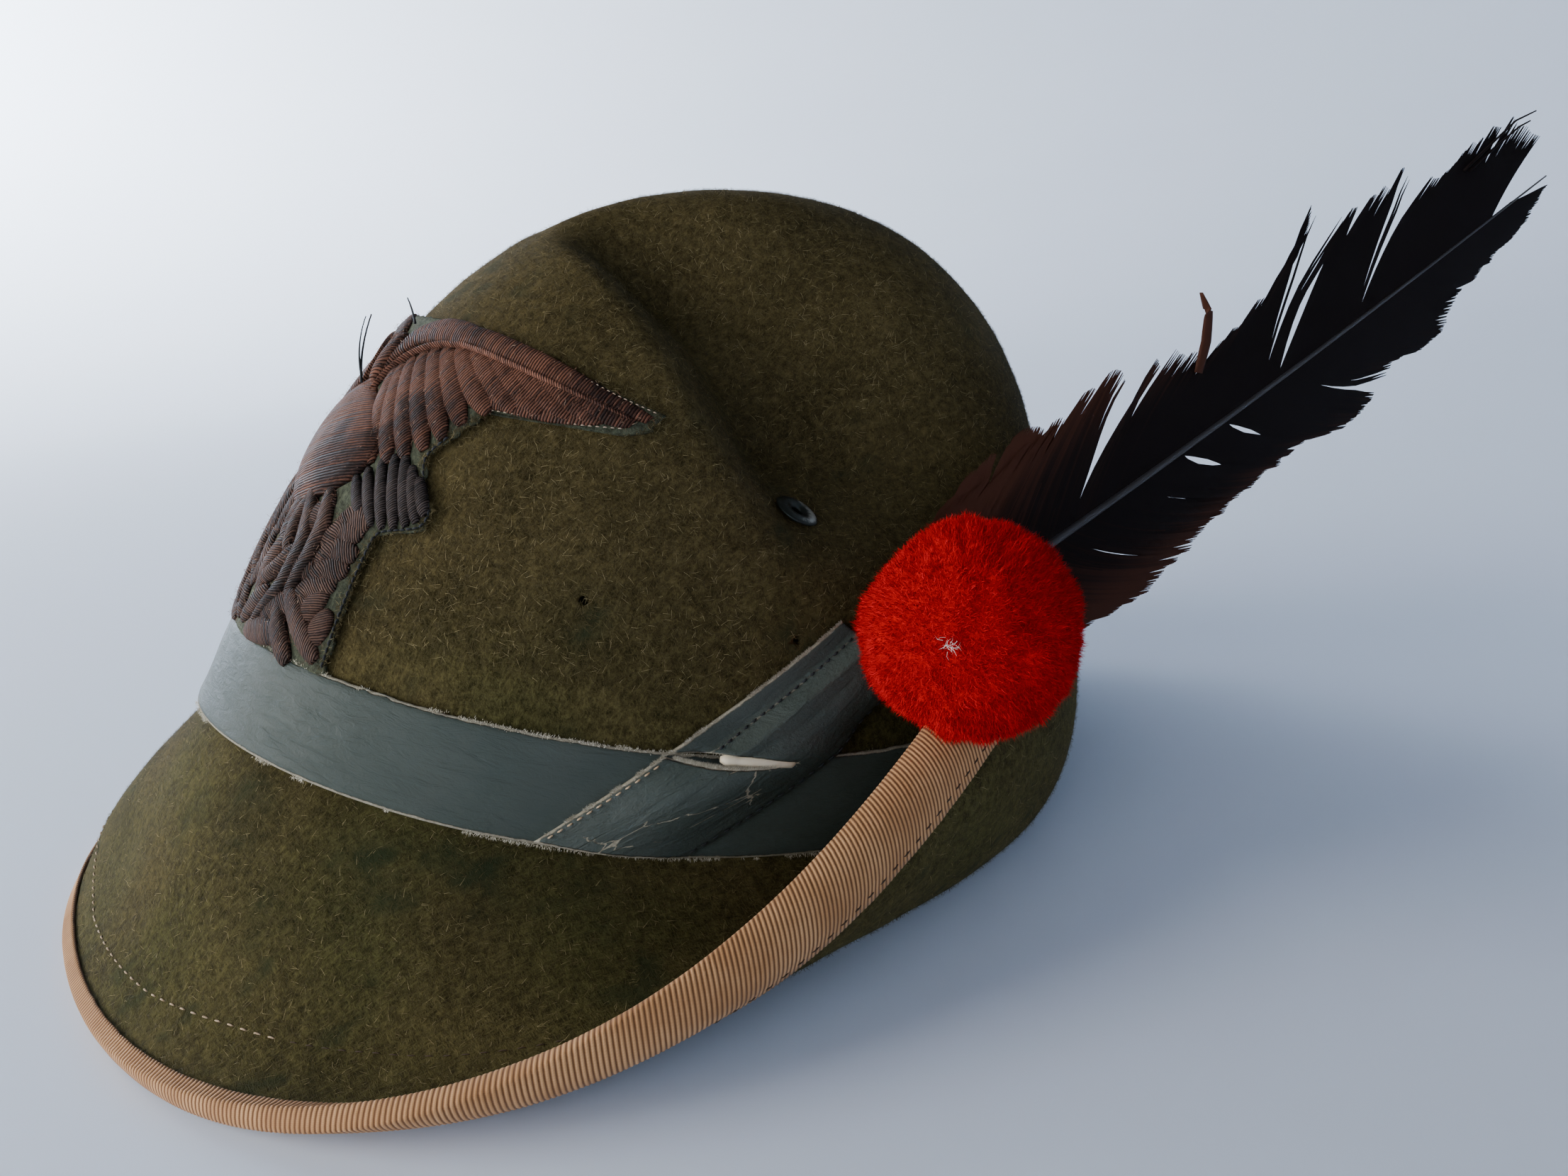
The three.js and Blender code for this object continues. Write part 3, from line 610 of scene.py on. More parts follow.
def nap_group():
    """Brushed wool: slow mottling, small clots and fine fibres that lie in three directions."""
    group, given, result = new_group(
        "brushed wool nap",
        [("Dark", "Color", (0, 0, 0, 1)), ("Light", "Color", (1, 1, 1, 1)), ("Worn", "Color", (0, 0, 0, 1)),
         ("Worn Amount", "Float", 0.0)],
        [("Colour", "Color"), ("Height", "Float"), ("Roughness", "Float")])
    slow = noise(group, 34, detail=2)
    clots = noise(group, 2.0, detail=4, roughness=0.7)
    fibre = noise(group, 0.8, detail=2, stretch=(0.35, 2.4, 1.6), distortion=0.8)
    crossing = noise(group, 0.8, detail=2, stretch=(2.2, 0.4, 0.5), distortion=0.8)
    strands = maths(group, "MAXIMUM", fibre, crossing)
    shade = maths(group, "ADD", maths(group, "MULTIPLY", clots, 0.6), maths(group, "MULTIPLY", strands, 0.7))
    shade = maths(group, "ADD", shade, maths(group, "MULTIPLY", slow, 0.35))
    colour = mixed(group, rescaled(group, shade, 0.62, 1.12), given.outputs["Dark"], given.outputs["Light"])
    colour = mixed(group, given.outputs["Worn Amount"], colour, given.outputs["Worn"])
    height = maths(group, "ADD", maths(group, "MULTIPLY", clots, 0.6), maths(group, "MULTIPLY", strands, 0.4))
    connect(group, colour, result.inputs["Colour"])
    connect(group, height, result.inputs["Height"])
    connect(group, rescaled(group, clots, 0.2, 0.8, 0.86, 1.0), result.inputs["Roughness"])
    return group


def leather_group():
    """Coated leather: fine grain and long creases, and a coating worn off near its borders and cracks
    down to the pale fibres below."""
    group, given, result = new_group(
        "worn coated leather",
        [("Coating", "Color", (0, 0, 0, 1)), ("Fibres", "Color", (1, 1, 1, 1)), ("From Border", "Float", 5.0),
         ("Wear", "Float", 1.0), ("Cracks", "Float", 0.0)],
        [("Colour", "Color"), ("Height", "Float"), ("Roughness", "Float")])
    grain = noise(group, 0.7, detail=3, roughness=0.7)
    u, v = cloth_axes(group)
    metres = {0: maths(group, "MULTIPLY", u, 0.001), 1: maths(group, "MULTIPLY", v, 0.001)}
    flat = node(group, "CombineXYZ", metres)
    creases = noise(group, 3.0, detail=4, roughness=0.6, vector=flat.outputs[0], stretch=(0.45, 1.6, 1),
                    distortion=1.2)
    cloud = noise(group, 22, detail=2)
    gnawed = maths(group, "MULTIPLY", noise(group, 2.1, detail=4, roughness=0.7), given.outputs["Wear"])
    border = maths(group, "SUBTRACT", given.outputs["From Border"], gnawed)
    bare = rescaled(group, border, 0.12, -0.12)
    aside = node(group, "CombineXYZ", {0: maths(group, "MULTIPLY", creases, 0.004)})
    warped = node(group, "VectorMath", {0: flat.outputs[0], 1: aside.outputs[0]}, operation="ADD")
    crack_map = node(group, "Mapping", {"Vector": warped.outputs[0], "Rotation": (0, 0, 0.5),
                                        "Scale": (95, 230, 1)})
    crack = node(group, "TexVoronoi", {"Vector": crack_map.outputs[0], "Scale": 1.0},
                 feature="DISTANCE_TO_EDGE")
    crack_line = rescaled(group, crack.outputs["Distance"], 0.018, 0.002)
    crack_line = maths(group, "MULTIPLY", crack_line, given.outputs["Cracks"])
    crack_line = maths(group, "MULTIPLY", crack_line, rescaled(group, noise(group, 9, detail=2), 0.5, 0.6))
    bare = maths(group, "MAXIMUM", bare, rescaled(group, crack_line, 0.35, 0.6))
    coated = mixed(group, rescaled(group, cloud, 0.3, 0.7), given.outputs["Coating"],
                   mixed(group, 0.35, given.outputs["Coating"], (0.085, 0.095, 0.08)))
    fibres = mixed(group, noise(group, 0.6, detail=3), given.outputs["Fibres"], (0.16, 0.14, 0.1))
    connect(group, mixed(group, bare, coated, fibres), result.inputs["Colour"])
    height = maths(group, "MULTIPLY", creases, 0.7)
    height = maths(group, "ADD", height, maths(group, "MULTIPLY", grain, 0.22))
    height = maths(group, "SUBTRACT", height, maths(group, "MULTIPLY", bare, 0.5))
    connect(group, height, result.inputs["Height"])
    rough = rescaled(group, creases, 0.25, 0.75, 0.56, 0.44)
    rough = maths(group, "MAXIMUM", rough, maths(group, "MULTIPLY", bare, 0.95))
    connect(group, rough, result.inputs["Roughness"])
    return group


def thread_group():
    """Laid threads: stripes across the piece's own length, slanted, each with its own tone, and painted shade
    in the grooves between them.
    """
    group, given, result = new_group(
        "laid threads",
        [("Dark", "Color", (0, 0, 0, 1)), ("Light", "Color", (1, 1, 1, 1)), ("Pitch", "Float", 0.4),
         ("Slant", "Float", 0.3)],
        [("Colour", "Color"), ("Height", "Float"), ("Roughness", "Float")])
    u, v = cloth_axes(group)
    wobble = maths(group, "MULTIPLY", noise(group, 2.5, detail=2), 0.35)
    slanted = maths(group, "ADD", u, maths(group, "MULTIPLY", v, given.outputs["Slant"]))
    run = maths(group, "ADD", slanted, wobble)
    count = maths(group, "DIVIDE", run, given.outputs["Pitch"])
    wave = maths(group, "ABSOLUTE", maths(group, "SINE", maths(group, "MULTIPLY", count, np.pi)))
    number = maths(group, "FLOOR", count)
    own = node(group, "TexWhiteNoise", {"W": number}, noise_dimensions="1D").outputs["Value"]
    fray = noise(group, 1.2, detail=4, roughness=0.7)
    fading = rescaled(group, noise(group, 13, detail=2), 0.35, 0.65, -0.15, 0.2)
    shade = maths(group, "ADD", maths(group, "MULTIPLY", own, 0.35), maths(group, "MULTIPLY", fray, 0.6))
    shade = maths(group, "ADD", shade, fading)
    # Painted shade: the colour darkens towards Dark in the grooves between the threads, where the wave is
    # low.
    shade = maths(group, "MULTIPLY", shade, rescaled(group, wave, 0.0, 0.7, 0.2, 1.0))
    colour = mixed(group, rescaled(group, shade, 0.1, 0.9), given.outputs["Dark"], given.outputs["Light"])
    connect(group, colour, result.inputs["Colour"])
    connect(group, maths(group, "POWER", wave, 0.6), result.inputs["Height"])
    connect(group, rescaled(group, own, 0, 1, 0.6, 0.8), result.inputs["Roughness"])
    return group


NAP = nap_group()
LEATHER = leather_group()
THREADS = thread_group()


# Materials

def felt_material():
    """Olive wool felt, greener and bare of nap where it is worn."""
    material, tree, shader = new_material("brushed olive felt", Specular_IOR_Level=0.06, Sheen_Weight=0.07,
                                          Sheen_Roughness=0.5, Sheen_Tint=(0.5, 0.42, 0.2))
    nap = placed_group(tree, NAP, {"Dark": (0.021, 0.016, 0.0055), "Light": (0.118, 0.089, 0.034),
                                   "Worn": (0.028, 0.03, 0.014), "Worn Amount": mark(tree, "worn")})
    green = rescaled(tree, mark(tree, "green"), 0.0, 1.0)
    greener = mixed(tree, 1.0, nap["Colour"], (0.76, 0.97, 0.82), "MULTIPLY")
    colour = mixed(tree, green, nap["Colour"], greener)
    finish_with(tree, shader, colour, nap["Roughness"], nap["Height"], relief=0.7)
    return material


def nap_hair_material(name, dark, light, pale, pale_from=0.8):
    """Hair of one colour family, a few of them pale."""
    material, tree, shader = new_material(name, Roughness=0.75, Specular_IOR_Level=0.1)
    tint = mark(tree, "tint")
    colour = mixed(tree, tint, dark, light)
    colour = mixed(tree, rescaled(tree, tint, pale_from, 1.0), colour, pale)
    finish_with(tree, shader, colour)
    return material


def leather_material(name, wear, cracks):
    """Grey green coated leather. With cracks it is glossier too, and its creases are deeper."""
    gloss, relief = (0.3, 0.9) if cracks else (0.16, 0.5)
    material, tree, shader = new_material(name, Specular_IOR_Level=gloss)
    values = {"Coating": (0.046, 0.06, 0.05), "Fibres": (0.5, 0.45, 0.33), "Wear": wear,
              "From Border": mark(tree, "from_border"), "Cracks": mark(tree, "cracks") if cracks else 0.0}
    leather = placed_group(tree, LEATHER, values)
    finish_with(tree, shader, leather["Colour"], leather["Roughness"], leather["Height"], relief=relief)
    return material


def binding_material():
    """Tan ribbon: pale crests, painted shade that darkens the grooves between the ribs to brown, a few darker
    yarns.
    """
    material, tree, shader = new_material("tan ribbed ribbon", Specular_IOR_Level=0.12, Sheen_Weight=0.08)
    rib = mark(tree, "rib")
    _, v = cloth_axes(tree)
    warp = maths(tree, "ABSOLUTE", maths(tree, "SINE", maths(tree, "MULTIPLY", v, np.pi / 0.32)))
    cloud = noise(tree, 9, detail=3)
    crest = mixed(tree, rescaled(tree, cloud, 0.3, 0.7), (0.48, 0.245, 0.1), (0.64, 0.355, 0.16))
    # Painted shade: the colour falls to dark brown in the grooves between the ribs, where the rib mark is
    # low.
    colour = mixed(tree, rescaled(tree, rib, 0.1, 0.75), (0.15, 0.06, 0.022), crest)
    colour = mixed(tree, maths(tree, "MULTIPLY", warp, 0.15), colour, (0.25, 0.12, 0.055))
    height = maths(tree, "ADD", maths(tree, "MULTIPLY", rib, 0.8), maths(tree, "MULTIPLY", warp, 0.2))
    finish_with(tree, shader, colour, rescaled(tree, cloud, 0, 1, 0.6, 0.8), height, relief=0.2, strength=0.5)
    return material


def thread_material(name, dark, light, pitch=0.62, slant=0.35):
    """Satin stitch, with painted shade in the grooves between its threads."""
    material, tree, shader = new_material(name, Specular_IOR_Level=0.15)
    laid = placed_group(tree, THREADS, {"Dark": dark, "Light": light, "Pitch": pitch, "Slant": slant})
    finish_with(tree, shader, laid["Colour"], laid["Roughness"], laid["Height"], relief=0.5)
    return material


def plain_thread_material(name, colour, other):
    """Sewing thread with a twist along it."""
    material, tree, shader = new_material(name, Specular_IOR_Level=0.3, Roughness=0.7)
    finish_with(tree, shader, mixed(tree, noise(tree, 0.5, detail=2), colour, other))
    return material


def patch_material():
    """Grey green felt of the badge."""
    material, tree, shader = new_material("badge felt", Specular_IOR_Level=0.15)
    nap = placed_group(tree, NAP, {"Dark": (0.018, 0.021, 0.012), "Light": (0.1, 0.108, 0.068),
                                   "Worn": (0.05, 0.045, 0.03), "Worn Amount": 0.0})
    finish_with(tree, shader, nap["Colour"], nap["Roughness"], nap["Height"], relief=0.5)
    return material


def metal_material():
    """Dark enamelled eyelet, bare along its rim."""
    material, tree, shader = new_material("worn dark enamel", Metallic=0.6)
    chips = noise(tree, 1.1, detail=4, roughness=0.7)
    wear = maths(tree, "ADD", mark(tree, "rim"), maths(tree, "MULTIPLY", chips, 0.6))
    bare = rescaled(tree, wear, 0.9, 1.15)
    colour = mixed(tree, bare, (0.022, 0.027, 0.022), (0.42, 0.42, 0.36))
    finish_with(tree, shader, colour, rescaled(tree, chips, 0.3, 0.7, 0.3, 0.5), chips, relief=0.05)
    return material


def wool_material():
    """Clipped red wool."""
    material, tree, shader = new_material("red wool", Roughness=0.85, Specular_IOR_Level=0.04,
                                          Sheen_Weight=0.15, Sheen_Tint=(1, 0.01, 0.02))
    tufts = noise(tree, 2.2, detail=4, roughness=0.65)
    colour = mixed(tree, rescaled(tree, tufts, 0.3, 0.7), (0.38, 0.0012, 0.0025), (0.66, 0.003, 0.006))
    finish_with(tree, shader, colour, height=tufts, relief=0.8)
    return material


def barb_material(name, dark, brown):
    """Feather barbs: dark in the vane, brown where the attribute says so, each barb with its own shade."""
    material, tree, shader = new_material(name, Roughness=0.65, Specular_IOR_Level=0.05)
    tone = maths(tree, "ADD", mark(tree, "brown"), maths(tree, "MULTIPLY", mark(tree, "tint"), 0.3))
    colour = mixed(tree, rescaled(tree, tone, 0.25, 1.1), dark, brown)
    finish_with(tree, shader, colour)
    return material


def quill_material():
    """Quill that is pale at its foot and dark further along."""
    material, tree, shader = new_material("quill", Roughness=0.4, Specular_IOR_Level=0.4)
    streaks = noise(tree, 1.5, detail=3, stretch=(1, 0.2, 1))
    pale = mixed(tree, streaks, (0.62, 0.5, 0.32), (0.8, 0.72, 0.55))
    dark = rescaled(tree, mark(tree, "dark"), 0, 1)
    finish_with(tree, shader, mixed(tree, dark, pale, (0.03, 0.027, 0.028)))
    return material


# Felt crown and brim

FELT_COLUMNS = 300

# Worn spots of the crown as (angle, level, radius), and of the brim as (angle, distance out, radius)
CROWN_SPOTS = ((55.2, 0.206, 5), (82, 0.19, 6), (57, 0.18, 4), (79.8, 0.29, 5))
BRIM_SPOTS = ((22, 8, 7), (40, 7, 9), (52, 9, 7), (64, 8, 6), (30, 20, 5), (12, 12, 5))


def crown_face(angle, level):
    """Outer face of the crown with the felt's unevenness, which fades out at the band."""
    point = crown_point(angle, level)
    clear = smooth_step((CROWN_HEIGHT * np.sin(np.radians(90) * level) - 24) / 12)
    return off_crown(angle, level, felt_wave(point) * clear)


def brim_face(angle, from_edge, below, clear_of):
    """Face of the brim with the felt's unevenness, which fades out at the binding."""
    point = brim_point(angle, from_edge, below)
    clear = smooth_step((from_edge - clear_of) / 10)
    sign = np.where(np.asarray(below) > 0, 1, -1)
    return brim_point(angle, from_edge, below + sign * felt_wave(point) * clear)


def inner_seat(angle):
    """Corner inside the hat where crown and brim meet."""
    length = brim_length(angle)
    top = brim_point(angle, length, 0 * angle)
    under = brim_point(angle, length, 0 * angle + 1) - top
    return top + FELT_THICKNESS * unit(unit(under) - out_of(crown_point, angle, 0 * angle))


def worn_places(points):
    """How bare the felt is: round spots, ragged by noise, and a scatter of moth bites where slow noise
    is high."""
    total = 0
    for angle, level, radius in CROWN_SPOTS:
        middle = crown_point(np.array(float(angle)), np.array(level))
        total = total + np.exp(-np.sum((points - middle) ** 2, -1) / radius ** 2)
    for angle, out, radius in BRIM_SPOTS:
        middle = seat_point(np.array(float(angle))) + out * outwards(np.array(float(angle)))
        total = total + 0.75 * np.exp(-np.sum((points[..., :2] - middle[:2]) ** 2, -1) / radius ** 2)
    bites = smooth_step((value_noise(points, 5, 11) - 0.72) / 0.1)
    bites = bites * smooth_step((value_noise(points, 40, 12) - 0.5) / 0.2)
    edges = 1.8 * value_noise(points, 1.9, 13) * value_noise(points, 5, 15)
    return np.clip(1.3 * np.clip(total, 0, 1) * edges + 0.8 * bites, 0, 1) ** 1.3


def green_places(points):
    """Where the felt is greener: low on the crown and on the brim, cloud by cloud."""
    low = smooth_step((95 - points[..., 2]) / 50)
    return np.clip(low * (0.2 + 0.6 * value_noise(points, 18, 14)), 0, 1)


def build_felt(material):
    """Closed wall in rings: down the crown, out over the brim, round its edge, back underneath and up
    inside the crown to the top. It is flat where it rests, at z 0."""
    angle = np.arange(FELT_COLUMNS) * 360 / FELT_COLUMNS
    length = brim_length(angle)
    down = np.linspace(0.985, 0.012, 96)[:, None]
    share = np.linspace(0, 1, 44)[:, None]
    crown = crown_face(angle + 0 * down, down + 0 * angle)
    brim = brim_face(angle, length * (1 - share), 0 * share * angle, BINDING_ON_TOP)
    edge = brim_point(angle, np.full((1, len(angle)), -0.4), np.full((1, len(angle)), 0.5 * FELT_THICKNESS))
    back = np.linspace(0, 0.985, 44)[:, None]
    under = brim_face(angle, length * back, FELT_THICKNESS + 0 * back * angle, BINDING_UNDERNEATH)
    up = np.linspace(float(level_at(BAND_WIDTH)), 0.985, 40)[:, None]
    inside = off_crown(angle + 0 * up, up + 0 * angle, -FELT_THICKNESS + 0 * up * angle)
    rings = np.concatenate([crown, brim, edge, under, inner_seat(angle)[None], inside])
    rings[..., 2] = np.maximum(rings[..., 2], 0.0)
    top = np.array(0.0), np.array(1.0)
    points, faces = ring_body(rings, (off_crown(*top, 0.0), off_crown(*top, -FELT_THICKNESS)))
    felt = make_piece("felt_body_cloth", points, faces, material,
                      marks={"worn": worn_places(points), "green": green_places(points)})
    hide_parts("felt_body")
    return felt


def cut_pin_holes(felt):
    """Two pin holes: a small round bar is cut out of the felt at each."""
    bodies = []
    for angle, level in PIN_HOLES:
        angle, level = np.array(float(angle)), np.array(level)
        ends = [off_crown(angle, level, d) for d in (6.0, -8.0)]
        bodies.append(turned_out(tube(np.linspace(*ends, 4), 0.5 * PIN_HOLE_DIAMETER, 14)))
    points, faces = joined(bodies)
    bars = make_piece("pin_hole_bars", points, faces, felt.data.materials[0])
    cut = felt.modifiers.new("pin holes", "BOOLEAN")
    cut.operation = "DIFFERENCE"
    cut.solver = "EXACT"
    cut.object = bars
    evaluated = felt.evaluated_get(bpy.context.evaluated_depsgraph_get())
    whole = bpy.data.meshes.new_from_object(evaluated)
    felt.modifiers.clear()
    felt.data = whole
    bpy.data.objects.remove(bars)


def nap_keep(angle, level):
    """Where the crown carries hair: not under the badge, the band or the holder, and little where worn."""
    height = CROWN_HEIGHT * np.sin(np.radians(90) * level) ** (2 / CROWN_ROUNDNESS)
    across = (angle - BADGE_MIDDLE_ANGLE) * mm_per_degree(level)
    under_badge = (np.abs(across) < badge_half_width(height)) & (height < 90) & (height > 15)
    left = np.interp(height / BAND_WIDTH, HOLDER_BORDERS["left_height"], HOLDER_BORDERS["left_angle"])
    under_holder = (angle > left) & (angle < 97) & (height < 1.8 * BAND_WIDTH)
    bare = worn_places(crown_point(angle, level))
    return np.where(under_badge | under_holder | (height < BAND_WIDTH + 1), 0.0, 1 - 0.9 * bare)


def build_nap(hair):
    """Hair of the crown in two pieces, and of both faces of the brim."""
    halves = {"nap_wearers_left": (0, 180, 58000), "nap_wearers_right": (-180, 0, 46000)}
    for seed, (name, (first, last, count)) in enumerate(halves.items()):
        angle, level = np.meshgrid(np.linspace(first, last, 181), np.linspace(0.13, 0.995, 110))
        keep = nap_keep(angle[:-1, :-1] + 0.5, level[:-1, :-1] + 0.004)
        root, out = scatter(crown_face(angle, level), count, 20 + seed, keep)
        hairs(name, root, out, 1.8, 0.085, 18, hair, 30 + seed, curl=0.18)
    angle = np.linspace(-180, 180, 361)
    share = np.linspace(0, 1, 40)[:, None]
    length = brim_length(angle)
    top = brim_face(angle, length + (BINDING_ON_TOP - length) * share, 0 * share * angle, BINDING_ON_TOP)
    bare = worn_places(top[:-1, :-1])
    root, out = scatter(top, 56000, 24, 1 - 0.9 * bare, turned=-1)
    hairs("nap_brim_top", root, out, 1.6, 0.08, 16, hair, 34, curl=0.18)
    lower = brim_face(angle, length + (BINDING_UNDERNEATH - length) * share,
                      FELT_THICKNESS + 0 * share * angle, BINDING_UNDERNEATH)
    off_table = (lower[:-1, :-1, 2] > 0.9).astype(float)
    root, out = scatter(lower, 42000, 25, off_table)
    hairs("nap_brim_underside", root, out, 1.6, 0.08, 22, hair, 35)


# Ribbon bound round the brim

RIB_PITCH = 0.98
STITCH_ROW = BINDING_UNDERNEATH - 1.5


def even_angles(count):
    """Angles at equal distances along the brim's edge, and the length of that edge."""
    angle = np.linspace(0, 360, 3601)
    edge = brim_point(angle, 0 * angle, 0 * angle)
    run = np.concatenate([[0], np.cumsum(np.linalg.norm(np.diff(edge, axis=0), axis=-1))])
    return np.interp(np.arange(count) * run[-1] / count, run, angle), run[-1]


def build_binding(material):
    """Ribbon folded over the edge: its section goes in over the top, round the felt and back in
    underneath, and rises and falls by a cosine from rib to rib. The stitching draws it in."""
    ribs = int(round(even_angles(8)[1] / RIB_PITCH))
    angle, around = even_angles(4 * ribs)
    wave = 0.5 + 0.5 * np.cos(np.pi / 2 * np.arange(4 * ribs))
    full = GAP + BINDING_THICKNESS
    on_top = np.linspace(BINDING_ON_TOP, 0, 5)
    fold = np.radians(np.linspace(-60, 60, 5))
    underneath = np.linspace(0, BINDING_UNDERNEATH, 12)
    tuck = 0.22 * np.exp(-((underneath - STITCH_ROW) / 0.5) ** 2)
    puff = 0.45 * np.sin(np.pi * np.clip(underneath / STITCH_ROW, 0, 1))
    half = 0.5 * FELT_THICKNESS
    outer = [(e, -full) for e in on_top]
    outer += [(-full * np.cos(f), half + (half + full) * np.sin(f)) for f in fold]
    outer += [(e, FELT_THICKNESS + full + p - t) for e, p, t in zip(underneath, puff, tuck)]
    inner = [(BINDING_UNDERNEATH, FELT_THICKNESS + GAP), (0, FELT_THICKNESS + GAP), (-GAP, half), (0, -GAP),
             (BINDING_ON_TOP, -GAP)]
    profile = np.array(outer + inner)
    swell = np.concatenate([np.ones(len(outer)), np.zeros(len(inner))])[:, None]
    away = np.sign(profile[:, 1:] - half)
    ragged = 0.25 * (value_noise(brim_point(angle, 0 * angle, 0 * angle), 3, 41) - 0.5)
    ends = np.isin(profile[:, :1], (BINDING_ON_TOP, BINDING_UNDERNEATH))
    from_edge = profile[:, :1] + 0 * angle + np.where(ends, ragged, 0)
    below = profile[:, 1:] + 0.13 * swell * away * wave
    rings = brim_point(angle, from_edge, below)
    rings[..., 2] = np.maximum(rings[..., 2], 0.02)
    points = rings.reshape(-1, 3)
    faces = [grid_faces(len(profile), len(angle), round_rows=True, round_columns=True)]
    run = np.arange(len(angle)) * around / len(angle)
    down = np.cumsum(np.concatenate([[0], np.linalg.norm(np.diff(profile, axis=0), axis=1)]))
    uv = stacked(*np.meshgrid(run, down))
    # The rib mark also carries the painted shade of the grooves into the ribbon's colour.
    rib = (wave * swell).ravel()
    binding = make_piece("brim_binding_ribbon", points, faces, material, uv=uv, around=around,
                         marks={"rib": rib})
    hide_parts("brim_binding")


def stitch_bodies(middle, along, out, length, thickness):
    """Stitches: each a short bar of six sides that dips into the cloth at both ends."""
    share = np.linspace(-0.5, 0.5, 7)[None, :, None, None]
    turn = np.linspace(0, 2 * np.pi, 6, endpoint=False)[None, None, :, None]
    side = unit(np.cross(along, out))[:, None, None]
    along, out, middle = along[:, None, None], out[:, None, None], middle[:, None, None]
    fat = 0.5 * thickness * (1 - (1.9 * share) ** 4).clip(0.15)
    arch = 0.5 * thickness * (1 - (2.2 * share) ** 2)
    rings = middle + share * length * along + arch * out
    rings = rings + fat * (np.cos(turn) * side + np.sin(turn) * out)
    count, rows, columns = rings.shape[:3]
    faces = grid_faces(rows, columns, round_columns=True)
    faces = (faces[None] + rows * columns * np.arange(count)[:, None, None]).reshape(-1, 4)
    ends = np.array([[5, 4, 3, 2, 1, 0], [0, 1, 2, 3, 4, 5]]) + np.array([[0], [(rows - 1) * columns]])
    caps = (ends[None] + rows * columns * np.arange(count)[:, None, None]).reshape(-1, 6)
    return rings.reshape(-1, 3), [faces, caps]


def stitch_line(name, path, out, pitch, share, thickness, material, slot, keep=None):
    """Row of stitches at equal distances along a path."""
    run = np.concatenate([[0], np.cumsum(np.linalg.norm(np.diff(path, axis=0), axis=-1))])
    places = np.arange(0.5 * pitch, run[-1], pitch)
    middle = np.stack([np.interp(places, run, path[:, i]) for i in range(3)], -1)
    along = unit(np.stack([np.interp(places + 0.5, run, path[:, i]) for i in range(3)], -1) - middle + 1e-9)
    up = unit(np.stack([np.interp(places, run, out[:, i]) for i in range(3)], -1))
    if keep is not None:
        kept = keep(middle)
        middle, along, up = middle[kept], along[kept], up[kept]
    points, faces = stitch_bodies(middle, along, up, pitch * share, thickness)
    return make_piece(name, points, faces, material)


def build_brim_stitches(pale, brown):
    """Dashes in the felt on top, tan at the front and thin and brown round the rest, and brown ones
    underneath, near the ribbon's border."""
    angle = np.append(even_angles(720)[0], 360.0)
    side = np.abs((angle + 180) % 360 - 180)
    row = np.interp(side, (0, 20, 31, 45, 60, 90, 180), (8.8, 11.3, 14.3, 16.2, 15.6, 12, STITCH_ROW))
    top = brim_face(angle, row, 0 * angle, BINDING_ON_TOP)
    out = unit(top - brim_point(angle, row, 0 * angle + 1))
    shown = (angle % 360 < 37) | (angle % 360 > 339)
    for name, place, thickness, thread in (("front", shown, 0.36, pale), ("rest", ~shown, 0.24, brown)):
        parts = np.split(np.flatnonzero(place), np.flatnonzero(np.diff(np.flatnonzero(place)) > 1) + 1)
        for number, part in enumerate(parts):
            path = top[part] + 0.05 * out[part]
            stitch_line("brim_stitches_%s_%d" % (name, number), path, out[part], 3.3, 0.5, thickness, thread,
                        "binding")
    below = FELT_THICKNESS + GAP + BINDING_THICKNESS
    under = brim_point(angle, 0 * angle + STITCH_ROW, 0 * angle + below - 0.1)
    stitch_line("brim_stitches_underside", under, -out, 3.5, 0.62, 0.36, brown, "binding",
                keep=lambda middle: middle[:, 2] > 0.4)


# Leather band

# Length round the crown after which the grain repeats
BAND_ROUND = 2 * np.pi * 92


def band_front(angle):
    """1 at the front of the hat and 0 past 80 degrees to both sides."""
    return smooth_step((80 - np.abs((angle + 180) % 360 - 180)) / 40)


def build_band(material):
    """Closed strip round the crown: its section is a flat loop with rounded borders, and its foot
    flares out at the front."""
    columns = 900
    angle = np.arange(columns) * 360 / columns
    across = np.linspace(0.03, 1, 20)
    crown_of_strip = 0.25 * np.sin(np.pi * across)
    corner = 0.35 * np.exp(-np.minimum(across - 0.03, 1 - across) * BAND_WIDTH / 0.45)
    section = [(s, GAP + BAND_THICKNESS + c - k) for s, c, k in zip(across, crown_of_strip, corner)]
    section += [(1.012, GAP + 0.5 * BAND_THICKNESS), (1, GAP), (0.5, GAP), (0.03, GAP)]
    section.append((0.018, GAP + 0.5 * BAND_THICKNESS))
    section = np.array(section)
    foot = crown_point(angle, level_at(0.5 * BAND_WIDTH))
    ragged = 0.35 * (value_noise(foot, 1.6, 51) - 0.5) + 0.3 * (value_noise(foot, 9, 52) - 0.5)
    height = section[:, :1] * BAND_WIDTH + np.where(section[:, :1] > 0.99, ragged, 0)
    outside = section[:, 1:] > GAP + 0.1
    bumps = 0.22 * (value_noise(foot + 40 * section[:, :1, None], 14, 53) - 0.5)
    flare = 1.9 * np.exp(-np.maximum(height, 0) / 4.5) * band_front(angle)
    off = section[:, 1:] + np.where(outside, bumps, 0) + flare
    rings = off_crown(angle + 0 * height, level_at(height), off)
    run = BAND_ROUND * np.arange(columns) / columns
    down = np.concatenate([section[:20, 0] * BAND_WIDTH, [BAND_WIDTH + 0.5, BAND_WIDTH + 1, 10, 0, -0.5]])
    uv = stacked(*np.meshgrid(run, down))
    border = np.minimum(np.abs(height - 0.03 * BAND_WIDTH), np.abs(BAND_WIDTH - height))
    faces = [grid_faces(len(section), columns, round_rows=True, round_columns=True)]
    band = make_piece("hat_band_leather", rings, faces, material, uv=uv, around=BAND_ROUND,
                      marks={"from_border": border.ravel(), "cracks": np.zeros(border.size)})
    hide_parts("hat_band")


